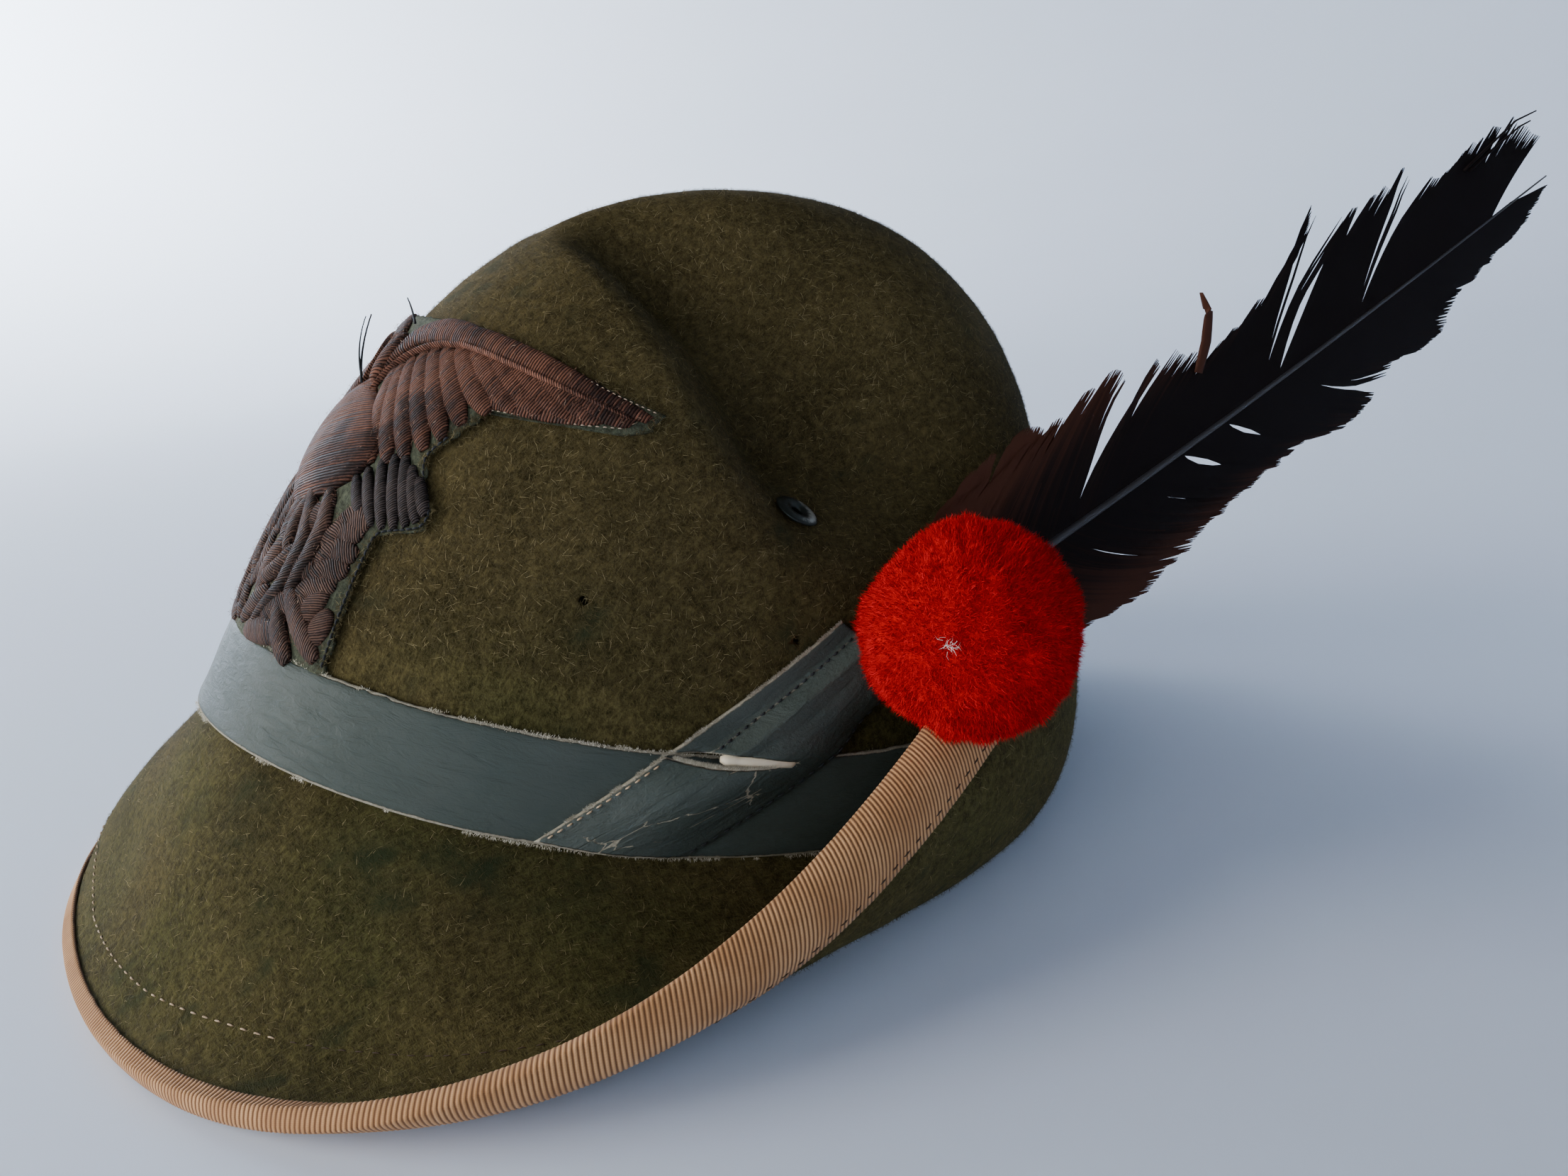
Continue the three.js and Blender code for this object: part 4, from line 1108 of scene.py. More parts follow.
def build_band_fluff(hair):
    """Pale fibres along both worn borders of the band, thick in some places and missing in others."""
    rng = np.random.default_rng(61)
    angle = rng.uniform(-180, 180, 16000)
    upper = rng.random(len(angle)) < 0.45
    height = np.where(upper, BAND_WIDTH, 0.4) + rng.normal(size=len(angle)) * 0.22
    place = crown_point(angle, level_at(height))
    patchy = value_noise(place, 5, 62) + 0.5 * value_noise(place, 1.5, 63)
    front = np.where(np.abs(angle - 62) < 16, 0.3, 0.0)
    kept = patchy + front > 0.86
    angle, height, upper = angle[kept], height[kept], upper[kept]
    flare = np.where(upper, 0, 1.7 * band_front(angle))
    off = GAP + BAND_THICKNESS * rng.uniform(0.3, 1.0, len(angle)) + flare
    root = off_crown(angle, level_at(height), off)
    out = out_of(crown_point, angle, level_at(height))
    upwards = off_crown(angle, level_at(height + 1), off) - root
    way = unit(upwards) * np.where(upper, 1, -1)[:, None]
    hairs("band_border_fibres", root, out, 0.5, 0.13, 24, hair, 64, way=way)


# Leather holder of the feather

HOLDER_LENGTH = 46
HOLDER_WIDTH = 17
SLIT_ALONG = 0.42
SLIT_ENDS = 0.7


def holder_place(along, across):
    """Angle and height of a place on the holder, between its two borders."""
    stops = HOLDER_BORDERS["along"]
    borders = {name: np.interp(along, stops, values) for name, values in HOLDER_BORDERS.items()}
    angle = borders["left_angle"] + (borders["right_angle"] - borders["left_angle"]) * across
    share = borders["left_height"] + (borders["right_height"] - borders["left_height"]) * across
    return angle, share * BAND_WIDTH


def holder_rim(along):
    """Share of the width at the left that lies flat: none low down, a strip higher up."""
    return 0.18 * smooth_step((along - 0.3) / 0.2)


def slit_shift(across):
    """How far each lip of the slit is parted, as a share along the holder: a sine to a power from the
    left border to the slit's end, and nothing beyond."""
    half = 0.5 * SLIT_OPENING * np.sin(np.pi * np.clip(0.06 + 0.94 * across / SLIT_ENDS, 0, 1)) ** 0.8
    return np.where(across < SLIT_ENDS, half, 0) / (1.29 * BAND_WIDTH) * 0.58


def holder_lift(along, across):
    """Gap under the leather: over the band and the felt, and draped over the quill."""
    angle, height = holder_place(along, across)
    on_band = GAP + BAND_THICKNESS + GAP
    over_band = 1 - smooth_step((height - 1.05 * BAND_WIDTH) / (0.35 * BAND_WIDTH))
    low = GAP + (on_band - GAP) * over_band
    rim = holder_rim(along)
    inside = np.clip((across - rim) / (1 - rim), 0, 1)
    swell = HOLDER_SWELL * np.sin(np.pi * inside) ** 1.2 * (0.4 + 0.6 * smooth_step(along / 0.35))
    foot = crown_point(angle, level_at(height))
    out = out_of(crown_point, angle, level_at(height))
    axes = feather_frame()
    reach = np.maximum(np.sum((foot - axes[0]) * axes[1], -1), 0)
    to_quill = feather_point(axes, reach, 0 * reach, 0 * reach) - foot
    above = np.sum(to_quill * out, -1)
    beside = np.linalg.norm(to_quill - out * above[..., None], axis=-1)
    drape = 1 - smooth_step((beside - QUILL_DIAMETER) / HOLDER_DRAPE)
    over_quill = (above + 0.5 * QUILL_DIAMETER + GAP - low) * drape * smooth_step(inside / 0.2)
    fold = 0.6 * smooth_step((across - rim) / 0.035) * smooth_step((along - SLIT_ALONG) / 0.04)
    return low + (fold + np.maximum(swell, over_quill)) * smooth_step((1 - across) / 0.08 + 0.15)


def build_holder(material):
    """Leather in two sheets that share the line of the slit, which parts from the left border to the
    slit's end. Beyond that the sheets run on as one."""
    across = np.linspace(0, 1, 91)
    shift = slit_shift(across)
    lower = np.linspace(0, 1, 34)[:, None] * (SLIT_ALONG - shift)
    upper = SLIT_ALONG + shift + np.linspace(0, 1, 50)[:, None] * (1 - SLIT_ALONG - shift)
    closed = (shift[:-1] < 1e-6) & (shift[1:] < 1e-6)
    bodies, lifts = [], []
    for along, first, last in ((lower, None, closed), (upper, closed, None)):
        along = along + 0 * across
        sideways = across + 0 * along
        angle, height = holder_place(along, sideways)
        lift = holder_lift(along, sideways)
        wrinkle = 0.16 * (value_noise(crown_point(angle, level_at(height)), 4, 71) - 0.5)
        border = 0.25 * np.exp(-np.minimum(sideways, 1 - sideways) * 36)
        face = off_crown(angle, level_at(height), lift + HOLDER_THICKNESS + wrinkle - border)
        back = off_crown(angle, level_at(height), lift)
        bodies.append(sheet_body(face, back, drop_first=first, drop_last=last))
        left = sideways * HOLDER_WIDTH
        right = (1 - sideways) * HOLDER_WIDTH
        lips = np.abs(along - (along[-1] if first is None else along[0])) * HOLDER_LENGTH
        lips = np.where(sideways < SLIT_ENDS, lips + 0.12, 9)
        fold = np.abs(sideways - holder_rim(along) - 0.03) * HOLDER_WIDTH + 0.27
        fold = np.where(along > SLIT_ALONG + 0.02, fold, 9)
        near = np.minimum.reduce([left, right + 0.5, lips, fold, along * HOLDER_LENGTH])
        cracks = smooth_step((0.5 - along) / 0.12) * smooth_step((sideways - 0.1) / 0.2)
        cracks = cracks * smooth_step((0.95 - sideways) / 0.2)
        uv = stacked(along * HOLDER_LENGTH, sideways * HOLDER_WIDTH)
        lifts.append((near, cracks, uv))
    points, faces = joined(bodies)
    marks = [np.concatenate([np.concatenate([sheet[i].ravel()] * 2) for sheet in lifts]) for i in range(2)]
    uv = np.concatenate([np.concatenate([sheet[2].reshape(-1, 2)] * 2) for sheet in lifts])
    holder = make_piece("feather_holder_leather", points, faces, material, uv=uv,
                        marks={"from_border": marks[0], "cracks": marks[1]})
    weld = holder.modifiers.new("slit end", "WELD")
    weld.merge_threshold = 0.00002
    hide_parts("feather_holder")


def holder_path(across, first, last):
    """Path just off the holder's face at a share across it, and the directions out of it."""
    along = np.linspace(first, last, 200)
    sideways = 0 * along + across
    angle, height = holder_place(along, sideways)
    off = holder_lift(along, sideways) + HOLDER_THICKNESS + 0.1
    return off_crown(angle, level_at(height), off), out_of(crown_point, angle, level_at(height))


def build_holder_seams(pale, dark):
    """Stitches along the holder's borders: tan low on the left, dark elsewhere."""
    low = holder_path(0.035, 0.02, SLIT_ALONG - 0.03)
    high = holder_path(0.205, SLIT_ALONG + 0.04, 0.99)
    right = holder_path(0.955, 0.02, 0.98)
    stitch_line("holder_stitches_low_left", *low, 2.2, 0.6, 0.4, pale, "leather")
    stitch_line("holder_stitches_high_left", *high, 2.2, 0.62, 0.5, dark, "leather")
    stitch_line("holder_stitches_right", *right, 2.6, 0.62, 0.42, dark, "leather")


def build_slit_fibres(hair):
    """Pale torn fibres along the slit's lower lip and the holder's left border."""
    rng = np.random.default_rng(72)
    lip = rng.random(2600)
    across = SLIT_ENDS * (0.1 + 0.9 * lip)
    along = SLIT_ALONG - slit_shift(across)
    angle, height = holder_place(along, across)
    lift = holder_lift(along, across) + HOLDER_THICKNESS * rng.uniform(0.3, 1, len(across))
    root = off_crown(angle, level_at(height), lift)
    out = out_of(crown_point, angle, level_at(height))
    way = unit(off_crown(angle, level_at(height + 1), lift) - root)
    hairs("slit_lip_fibres", root, out, 0.85, 0.12, 25, hair, 73, way=way)
    along = rng.uniform(0.03, 1, 3200)
    sideways = 0 * along + 0.004
    angle, height = holder_place(along, sideways)
    lift = holder_lift(along, sideways) + HOLDER_THICKNESS * rng.uniform(0.2, 1, len(along))
    root = off_crown(angle, level_at(height), lift)
    kept = value_noise(root, 3, 74) > 0.45
    out = out_of(crown_point, angle, level_at(height))
    way = unit(off_crown(angle - 0.6, level_at(height + 0.5), lift) - root)
    hairs("holder_border_fibres", root[kept], out[kept], 0.6, 0.12, 25, hair, 75, way=way[kept])


def build_quill_end(material):
    """Pale foot of the quill that shows in the slit: a flattened tube along the slit's far half."""
    across = np.linspace(0.4, 0.99, 30) * SLIT_ENDS
    along = SLIT_ALONG + 0.004 + 0 * across
    angle, height = holder_place(along, across)
    path = off_crown(angle, level_at(height), holder_lift(along, across) + 0.15)
    radius = 1.25 * np.minimum(1, 0.35 + 2.4 * np.sin(np.pi * np.linspace(0.02, 0.98, 30)))
    points, faces = tube(path, radius, 12)
    make_piece("quill_end", points, faces, material, marks={"dark": np.zeros(len(points))})


# Eyelets

def build_eyelets(material):
    """Rolled ring turned round the way out of the crown: a rounded rim, a bore and a rear washer."""
    turn = np.radians(np.arange(64) * 360 / 64)
    bore, wide = 0.5 * EYELET_BORE, 0.5 * EYELET_DIAMETER
    roll = np.radians(np.linspace(200, 10, 12))
    middle, half = 0.5 * (bore + wide), 0.5 * (wide - bore)
    front = [(middle + half * np.cos(r), 4 * GAP + EYELET_RIM * max(np.sin(r), -0.2) + 0.1) for r in roll]
    rear = -FELT_THICKNESS - 5 * GAP
    washer = 0.42 * EYELET_DIAMETER
    back = [(bore + EYELET_RIM, 4 * GAP), (bore + EYELET_RIM, rear), (washer, rear),
            (washer, rear - EYELET_RIM), (bore, rear - EYELET_RIM)]
    profile = np.array(front + back)
    rim = np.concatenate([np.clip(np.sin(roll), 0, 1) * np.linspace(0.3, 1.0, 12), np.zeros(5)])
    for name, (angle, level) in EYELET_PLACES.items():
        angle, level = np.array(float(angle)), np.array(level)
        out = out_of(crown_point, angle, level)
        side = unit(np.cross(out, [0, 0, 1.0]))
        up = np.cross(side, out)
        ring = np.cos(turn)[:, None] * side + np.sin(turn)[:, None] * up
        rings = crown_point(angle, level) + profile[:, :1, None] * ring + profile[:, 1:, None] * out
        faces = [grid_faces(len(profile), 64, round_rows=True, round_columns=True)]
        worn_side = 0.5 - 0.5 * np.sin(turn + 0.6)
        eyelet = make_piece(name + "_ring", rings, faces, material,
                            marks={"rim": (rim[:, None] * (0.5 + 0.7 * worn_side)).ravel()})
        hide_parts(name)


# Badge

# Half width of the badge's felt at each height above the brim
BADGE_EDGE = {
    "height": (16, 29, 39, 46.5, 50, 54, 58, 63, 68, 73.4, 73.8, 75.4, 78.6, 80.2, 83.5, 86.3, 88.4, 90),
    "half_width": (36, 34.5, 33.5, 33, 42.5, 42, 36.5, 34, 36.5, 40, 65.5, 69, 68.6, 62.5, 49, 40.5, 31, 10),
}

# Stitched pads on one side of the badge, each as stops of (distance from its middle, height)
WING_ROLL = (
    (1.0, 76), (3.5, 81.5), (9, 85.6), (18, 87.2), (27, 86.8), (35, 85.4), (43, 83.8), (51, 81.6), (60, 79),
    (67.5, 77.1),
)
WING_ROPE = (
    (4.2, 72), (6, 76.9), (10.3, 81.2), (16.6, 84), (24, 84.9), (31.3, 84), (39.8, 82.4), (47.2, 80.8),
    (57.2, 78.4), (65, 76.5),
)
WING_LOBES = (
    ((8.0, 78.0), (14.0, 69.0), (21.6, 58.8)),
    ((9.5, 79.0), (17.0, 69.8), (26.2, 59.8)),
    ((11.5, 80.6), (20.0, 71.4), (29.8, 61.6)),
    ((14.0, 82.2), (23.0, 73.2), (32.8, 64.0)),
    ((16.5, 83.4), (26.0, 74.8), (35.2, 66.8)),
    ((19.5, 84.2), (29.0, 76.6), (37.0, 70.2)),
    ((23.0, 84.4), (32.6, 78.0), (40.4, 73.2)),
    ((27.0, 84.2), (37.0, 79.0), (45.0, 74.6)),
    ((31.5, 83.6), (41.5, 79.0), (50.0, 75.0)),
    ((36.5, 82.8), (46.5, 78.8), (55.0, 75.2)),
    ((42.0, 81.9), (52.0, 78.4), (60.5, 75.4)),
    ((48.0, 80.8), (57.0, 77.8), (65.5, 75.8)),
)
SHOULDER = ((1.0, 79.0), (5.0, 85.4), (13.0, 88.0), (24.0, 88.2))
WING_FILLING = (((11.0, 77.0), (20.0, 74.0), (29.0, 74.5)), ((28.0, 76.6), (42.0, 78.2), (62.0, 76.6)))
FLANK_RIBS = (
    ((19.6, 56.0), (28.4, 47.6)),
    ((21.8, 58.0), (31.2, 47.8)),
    ((24.2, 60.4), (34.0, 48.0)),
    ((26.8, 61.8), (36.6, 48.6)),
    ((29.4, 62.2), (38.8, 49.6)),
    ((32.4, 60.6), (40.4, 50.8)),
    ((35.4, 58.8), (41.4, 52.4)),
)
STALKS = (
    ((5.2, 52.0), (10.8, 46.3), (14.6, 40.0), (14.2, 31.3), (8.3, 22.4)),
    ((17.3, 31.9), (26.6, 25.5), (33.4, 21.2)),
    ((14.0, 52.0), (18.4, 45.0), (18.8, 38.0), (17.4, 30.0)),
    ((8.0, 50.0), (6.6, 44.0), (8.6, 37.6)),
    ((3.0, 30.0), (8.6, 33.6), (13.4, 39.6)),
    ((16.0, 28.0), (21.4, 22.4), (26.6, 18.6)),
)
LEAVES = (
    ((20.4, 41.7), (24.7, 46.0), (30.6, 45.4)),
    ((21.4, 38.2), (25.5, 41.9), (31.8, 41.6)),
    ((21.9, 35.0), (25.8, 37.9), (31.5, 38.6)),
    ((12.2, 31.3), (15.8, 36.3), (22.6, 36.4)),
    ((4.3, 27.4), (1.6, 33.1), (5.8, 41.1)),
    ((2.4, 38.9), (3.0, 44.3), (2.2, 50.6)),
    ((9.4, 24.7), (18.2, 28.8), (25.7, 31.1)),
    ((25.1, 26.3), (26.8, 30.7), (28.6, 35.0)),
    ((29.6, 23.1), (31.0, 27.0), (31.6, 31.0)),
    ((5.5, 20.4), (13.0, 21.8), (21.5, 22.6)),
    ((22.0, 46.6), (26.0, 48.4), (31.0, 47.6)),
    ((20.0, 30.0), (23.6, 33.4), (30.4, 35.6)),
    ((1.0, 21.0), (4.6, 25.4), (9.0, 29.6)),
    ((12.0, 41.6), (13.6, 46.0), (17.6, 50.4)),
)


def mm_per_degree(level):
    """Millimetres round the crown for one degree, near its front."""
    return HEAD_HALF_WIDTH * np.cos(np.radians(90) * level) ** (2 / CROWN_ROUNDNESS) * np.pi / 180


def badge_half_width(height):
    return np.interp(height, BADGE_EDGE["height"], BADGE_EDGE["half_width"])


def on_badge(across, height, off):
    """Point over the crown by its distance from the badge's middle, its height and its distance off."""
    level = level_at(height)
    return off_crown(BADGE_MIDDLE_ANGLE + across / mm_per_degree(level), level, off)


def build_patch(material):
    """Felt of the badge: rows at rising heights, each as wide as the table says, with a ragged border."""
    height = np.unique(np.concatenate([np.linspace(16, 89.8, 150), [73.4, 73.8]]))[:, None]
    share = np.linspace(-1, 1, 150)
    half = badge_half_width(height)
    seeds = stacked(height, 0 * height, 0 * height)
    half = half + 1.3 * (value_noise(seeds, 1.7, 81) - 0.5) + 0.9 * (value_noise(seeds, 0.8, 84) - 0.5)
    across = half * share
    flat = stacked(across, height + 0 * across, 0 * across)
    bumps = 0.3 * (value_noise(flat, 5, 82) - 0.5)
    high = height + 0 * across + 0.5 * (value_noise(flat, 1.9, 83) - 0.5) * (height > 89)
    face = on_badge(across, high, 2 * GAP + PATCH_THICKNESS + bumps - 0.3 * np.abs(share) ** 30)
    back = on_badge(across, high, 2 * GAP + 0 * across)
    points, faces = sheet_body(face, back)
    patch = make_piece("badge_patch_felt", points, faces, material)
    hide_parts("badge_patch")


def smooth_path(stops, count):
    """Curve through a few stops: straight shares softened by blending neighbours twice."""
    stops = np.array(stops, float)
    run = np.concatenate([[0], np.cumsum(np.linalg.norm(np.diff(stops, axis=0), axis=1))])
    even = np.linspace(0, run[-1], 4 * count)
    path = np.stack([np.interp(even, run, stops[:, i]) for i in range(2)], -1)
    window = max(3, len(even) // (2 * len(stops)) | 1)
    kernel = np.ones(window) / window
    for _ in range(2):
        before = 2 * path[:1] - path[window // 2:0:-1]
        after = 2 * path[-1:] - path[-2:-window // 2 - 1:-1]
        padded = np.concatenate([before, path, after])
        path = np.stack([np.convolve(padded[:, i], kernel, "valid") for i in range(2)], -1)
    return path[np.linspace(0, len(path) - 1, count).astype(int)]


def pad_body(stops, width, lift, side=1, base=0.0, blunt=0.55, count=26, taper=1.0):
    """Stitched pad: a full round back over a flat bottom, carried along a path on the badge. Its width
    grows from the ends with the sine of the place to a power, times a taper towards its tip."""
    path = smooth_path(stops, count)
    along = unit(np.gradient(path, axis=0))
    normal = np.stack([-along[:, 1], along[:, 0]], -1)
    place = np.linspace(0.012, 0.988, count)
    size = np.sin(np.pi * place) ** blunt * (1 + (taper - 1) * place)
    arc = np.radians(np.linspace(180, 0, 11))
    q = np.concatenate([np.cos(arc), [0.5, -0.5]])
    rise = np.concatenate([np.sin(arc) ** 0.7, [0, 0]])
    spot = path[:, None] + 0.5 * width * size[:, None, None] * q[None, :, None] * normal[:, None]
    off = 3 * GAP + PATCH_THICKNESS + base - 0.35 + (lift * size ** 0.7)[:, None] * rise
    rings = on_badge(side * spot[..., 0], spot[..., 1], off)
    run = np.concatenate([[0], np.cumsum(np.linalg.norm(np.diff(path, axis=0), axis=1))])
    uv = stacked(run[:, None] + 0 * q, 0.5 * width * size[:, None] * np.abs(q) * np.sign(q))
    ends = rings[0].mean(0), rings[-1].mean(0)
    body = turned_out(ring_body(rings, ends))
    return body, np.concatenate([uv.reshape(-1, 2), [[0, 0], [run[-1], 0]]])


def build_pads(name, pads, material):
    """Joined stitched pads as one piece."""
    points, faces = joined([body for body, _ in pads])
    uv = np.concatenate([uv for _, uv in pads])
    return make_piece(name, points, faces, material, uv=uv, flip=False)


def build_bird(copper, rope, purple, leaf):
    """A plain spread bird over leaves: wings of a roll, a rope and hanging lobes, a smooth body,
    ribbed flanks, and stalks with leaves. The second side mirrors the first. Gives the pads that fray:
    those of the wings and body, and those of the leaves."""
    wings, ropes, flanks, leaves = [], [], [], []
    for side in (1, -1):
        wings.append(pad_body(WING_ROLL, 4.8, 1.6, side, blunt=0.3, count=60, taper=0.75))
        wings.append(pad_body(SHOULDER, 4.2, 1.3, side, blunt=0.3))
        ropes.append(pad_body(WING_ROPE, 1.3, 1.9, side, base=0.1, blunt=0.3, count=60, taper=0.8))
        wings.append(pad_body(WING_FILLING[0], 17, 0.9, side, blunt=0.5))
        wings.append(pad_body(WING_FILLING[1], 8, 0.9, side, blunt=0.4))
        for number, stops in enumerate(WING_LOBES):
            wings.append(pad_body(stops, 5.4 - 0.1 * number, 1.5 - 0.04 * number, side, base=0.02 * number,
                                  blunt=0.3, count=30, taper=0.85))
        for stops in FLANK_RIBS:
            flanks.append(pad_body(stops, 2.7, 1.2, side, blunt=0.25, count=20))
        for stops in STALKS:
            leaves.append(pad_body(stops, 4.6, 1.7, side, blunt=0.25, count=34))
        for stops in LEAVES:
            leaves.append(pad_body(stops, 5.6, 1.2, side, blunt=0.35, count=20))
    body_middle = ((0, 75), (0, 70), (0, 60), (0, 50), (0, 45.5))
    wings.append(pad_body(body_middle, 44, 2.6, blunt=0.9, count=60))
    wings.append(pad_body(((0, 74), (0, 79), (-1.0, 83), (-2.6, 85.4)), 6.5, 2.2, blunt=0.6))
    wings.append(pad_body(((-1.5, 84.0), (-4.0, 83.8), (-6.5, 82.2)), 2.0, 1.6, blunt=0.4, taper=0.4))
    bird = build_pads("badge_bird_copper", wings, copper)
    build_pads("badge_bird_rope", ropes, rope)
    build_pads("badge_bird_flanks", flanks, purple)
    build_pads("badge_bird_leaves", leaves, leaf)
    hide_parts("badge_bird")
    return wings, leaves


def build_badge_fray(pads, patch_hair, thread_hair):
    """Frayed fibres: out of the stitching at random places, and along the cut border of the felt."""
    rng = np.random.default_rng(85)
    points = np.concatenate([body[0] for body, _ in pads])
    root = points[rng.choice(len(points), 9000)] + rng.normal(size=(9000, 3)) * 0.3
    out = np.broadcast_to(unit(np.array([0.25, -0.9, 0.35])), root.shape)
    hairs("badge_fray", root, out, 1.1, 0.09, 14, thread_hair, 86, curl=0.5)
    height = rng.uniform(17, 89.5, 7000)
    side = np.where(rng.random(7000) < 0.5, 1, -1)
    across = side * (badge_half_width(height) + rng.uniform(-1.4, 0.4, 7000))
    root = on_badge(across, height, 2 * GAP + rng.uniform(0.1, PATCH_THICKNESS, 7000))
    out = unit(on_badge(across, height, 3.0 + 0 * height) - on_badge(across, height, 0 * height))
    hairs("badge_border_fibres", root, out, 1.3, 0.09, 16, patch_hair, 87, curl=0.5)


def build_badge_threads(pale, dark):
    """Pale dots along the top and under the wings, a dark outline low down, and loose black ends."""
    def line(stops, side, off):
        path = smooth_path(stops, 160)
        place = on_badge(side * path[:, 0], path[:, 1], off + 0 * path[:, 0])
        out = unit(on_badge(side * path[:, 0], path[:, 1], off + 1 + 0 * path[:, 0]) - place)
        return place, out

    top = [(a, h + 1.25) for a, h in WING_ROLL[2:]]
    under = ((40, 73.9), (48, 74.2), (57, 74.2), (65, 74.9))
    low = ((36.0, 67.5), (33.6, 63), (37.5, 57.5), (42.0, 53.7), (42.2, 50.2), (33, 47.2), (33.4, 40),
           (34.2, 30), (35.4, 20))
    for name, side in (("left", 1), ("right", -1)):
        stitch_line("badge_top_dots_" + name, *line(top, side, 2.2), 1.3, 0.55, 0.24, pale, "badge_thread")
        stitch_line("badge_under_dots_" + name, *line(under, side, 1.6), 1.5, 0.55, 0.26, pale,
                    "badge_thread")
        stitch_line("badge_outline_" + name, *line(low, side, 1.5), 1.5, 0.97, 0.5, dark, "badge_thread")
    ends = []
    for foot, bend, tip, radius in (
        ((-1.5, 73, 3), (-9, 79, 6.5), (-11, 84.5, 9), 0.32),
        ((-2.2, 73.4, 3), (-8, 78.5, 7.5), (-11.6, 83.6, 9.6), 0.25),
        ((1.0, 87.5, 2.4), (-2.0, 89.5, 4.2), (-4.6, 90.5, 6.2), 0.3),
    ):
        stops = np.array([foot, bend, tip], float)
        t = np.linspace(0, 1, 14)[:, None]
        curve = (1 - t) ** 2 * stops[0] + 2 * t * (1 - t) * stops[1] + t * t * stops[2]
        path = on_badge(curve[:, 0], curve[:, 1], curve[:, 2])
        ends.append(turned_out(tube(path, radius * np.linspace(1, 0.5, 14), 6)))
    points, faces = joined(ends)
    make_piece("badge_loose_threads", points, faces, dark, flip=False)


# Feathers

# Outline of the long feather's vane, places and widths in shares of its length and vane width
VANE_OUTLINE = {
    "along": (0.2, 0.23, 0.27, 0.32, 0.38, 0.445, 0.456, 0.47, 0.48, 0.5, 0.53, 0.565, 0.6, 0.618, 0.64, 0.66,
              0.68, 0.7, 0.704, 0.719, 0.723, 0.732, 0.76, 0.782, 0.8, 0.818, 0.822, 0.83, 0.86, 0.903, 0.93,
              0.963, 1.0),
    "upper": (0.5, 0.84, 0.86, 0.88, 0.92, 1.0, 0.82, 0.9, 0.78, 0.74, 0.7, 0.69, 0.78, 0.84, 0.92, 1.02,
              1.15, 1.27, 0.93, 0.95, 0.95, 0.955, 0.96, 0.97, 0.99, 1.03, 0.8, 0.78, 0.77, 0.8, 0.82,
              0.8, 0.45),
    "lower": (0.35, 0.7, 1.0, 1.04, 1.08, 1.02, 1.0, 0.94, 0.9, 0.84, 0.81, 0.8, 0.79, 0.82, 0.9, 0.95,
              1.0, 0.92, 0.9, 0.86, 0.68, 0.68, 0.72, 0.75, 0.76, 0.76, 0.74, 0.68, 0.49, 0.43, 0.38,
              0.3, 0.1),
}

# Splits of the vane: side, place along, depth as a share of the vane's width, how far they open, and
# the share of the vane's width at which they close again (0: open to the border)
VANE_SPLITS = (
    (1, 0.365, 0.5, 5, 0), (1, 0.452, 0.9, 11, 0), (1, 0.474, 0.6, 6, 0), (1, 0.53, 0.35, 4, 0),
    (1, 0.702, 0.5, 8, 0), (1, 0.722, 1, 4.5, 0.95), (1, 0.745, 0.3, 5, 0), (1, 0.821, 0.35, 6, 0),
    (1, 0.93, 0.4, 4, 0), (1, 0.957, 0.55, 5, 0), (-1, 0.45, 1, 1.7, 0.9), (-1, 0.52, 1, 1.8, 0.95),
    (-1, 0.575, 1, 4.2, 0.5), (-1, 0.64, 1, 3.4, 0.45), (-1, 0.6, 0.2, 3, 0), (-1, 0.721, 0.3, 5, 0),
    (-1, 0.86, 0.3, 4, 0),
)


# Places on the feather as (along, up): a torn barb that stands up, and two strands at the tip
WISP = ((139, 12), (143, 18), (145.5, 24), (144.5, 29.5))
TIP_STRANDS = (
    ((244, 16), (257, 18), (268, 19.5), (277, 18.5)),
    ((246, 15), (258, 16.5), (269, 17.4), (274, 17)),
)

BARB_STEPS = 9
FEATHER_BOW = 2.6


def rachis_point(axes, along, length, bow):
    """Quill that bows down by a sine and carries on straight."""
    return feather_point(axes, along, -bow * np.sin(np.pi * np.clip(along / length, 0, 1)), 0 * along)


def split_push(splits, side, edge, length, t):
    """How far barbs beside the splits are pushed along the quill: less with their distance from the
    split, and growing towards the border, or back to nothing where the split closes again."""
    total = 0
    for split_side, place, depth, opening, closes in splits:
        if split_side == side:
            gap = (edge - place) * length
            push = np.sign(gap) * 0.5 * opening * np.exp(-np.abs(gap) / 4.5)
            to_border = smooth_step((t - (1 - depth)) / depth) ** 1.3
            to_middle = np.sin(np.pi * np.clip(t / max(closes, 0.01), 0, 1))
            total = total + push[:, None] * (to_middle if closes else to_border)
    return total


def barb_brown(edge, t, wide, side, brown_at):
    """How brown the barbs are: before a share of the length all along them, and further on at their
    tips alone, and more on the side below the quill."""
    base = np.clip((brown_at - edge) / 0.22, 0, 1)[:, None] * ((0.25 if side > 0 else 0.45) + 0.75 * t)
    rim = np.clip((t - 0.55) / 0.45, 0, 1) * (0.25 + 0.5 * wide[:, None]) * (1.0 if side < 0 else 0.55)
    return np.clip(base + rim * np.clip((0.85 - edge) / 0.3, 0.25, 1)[:, None], 0, 1)


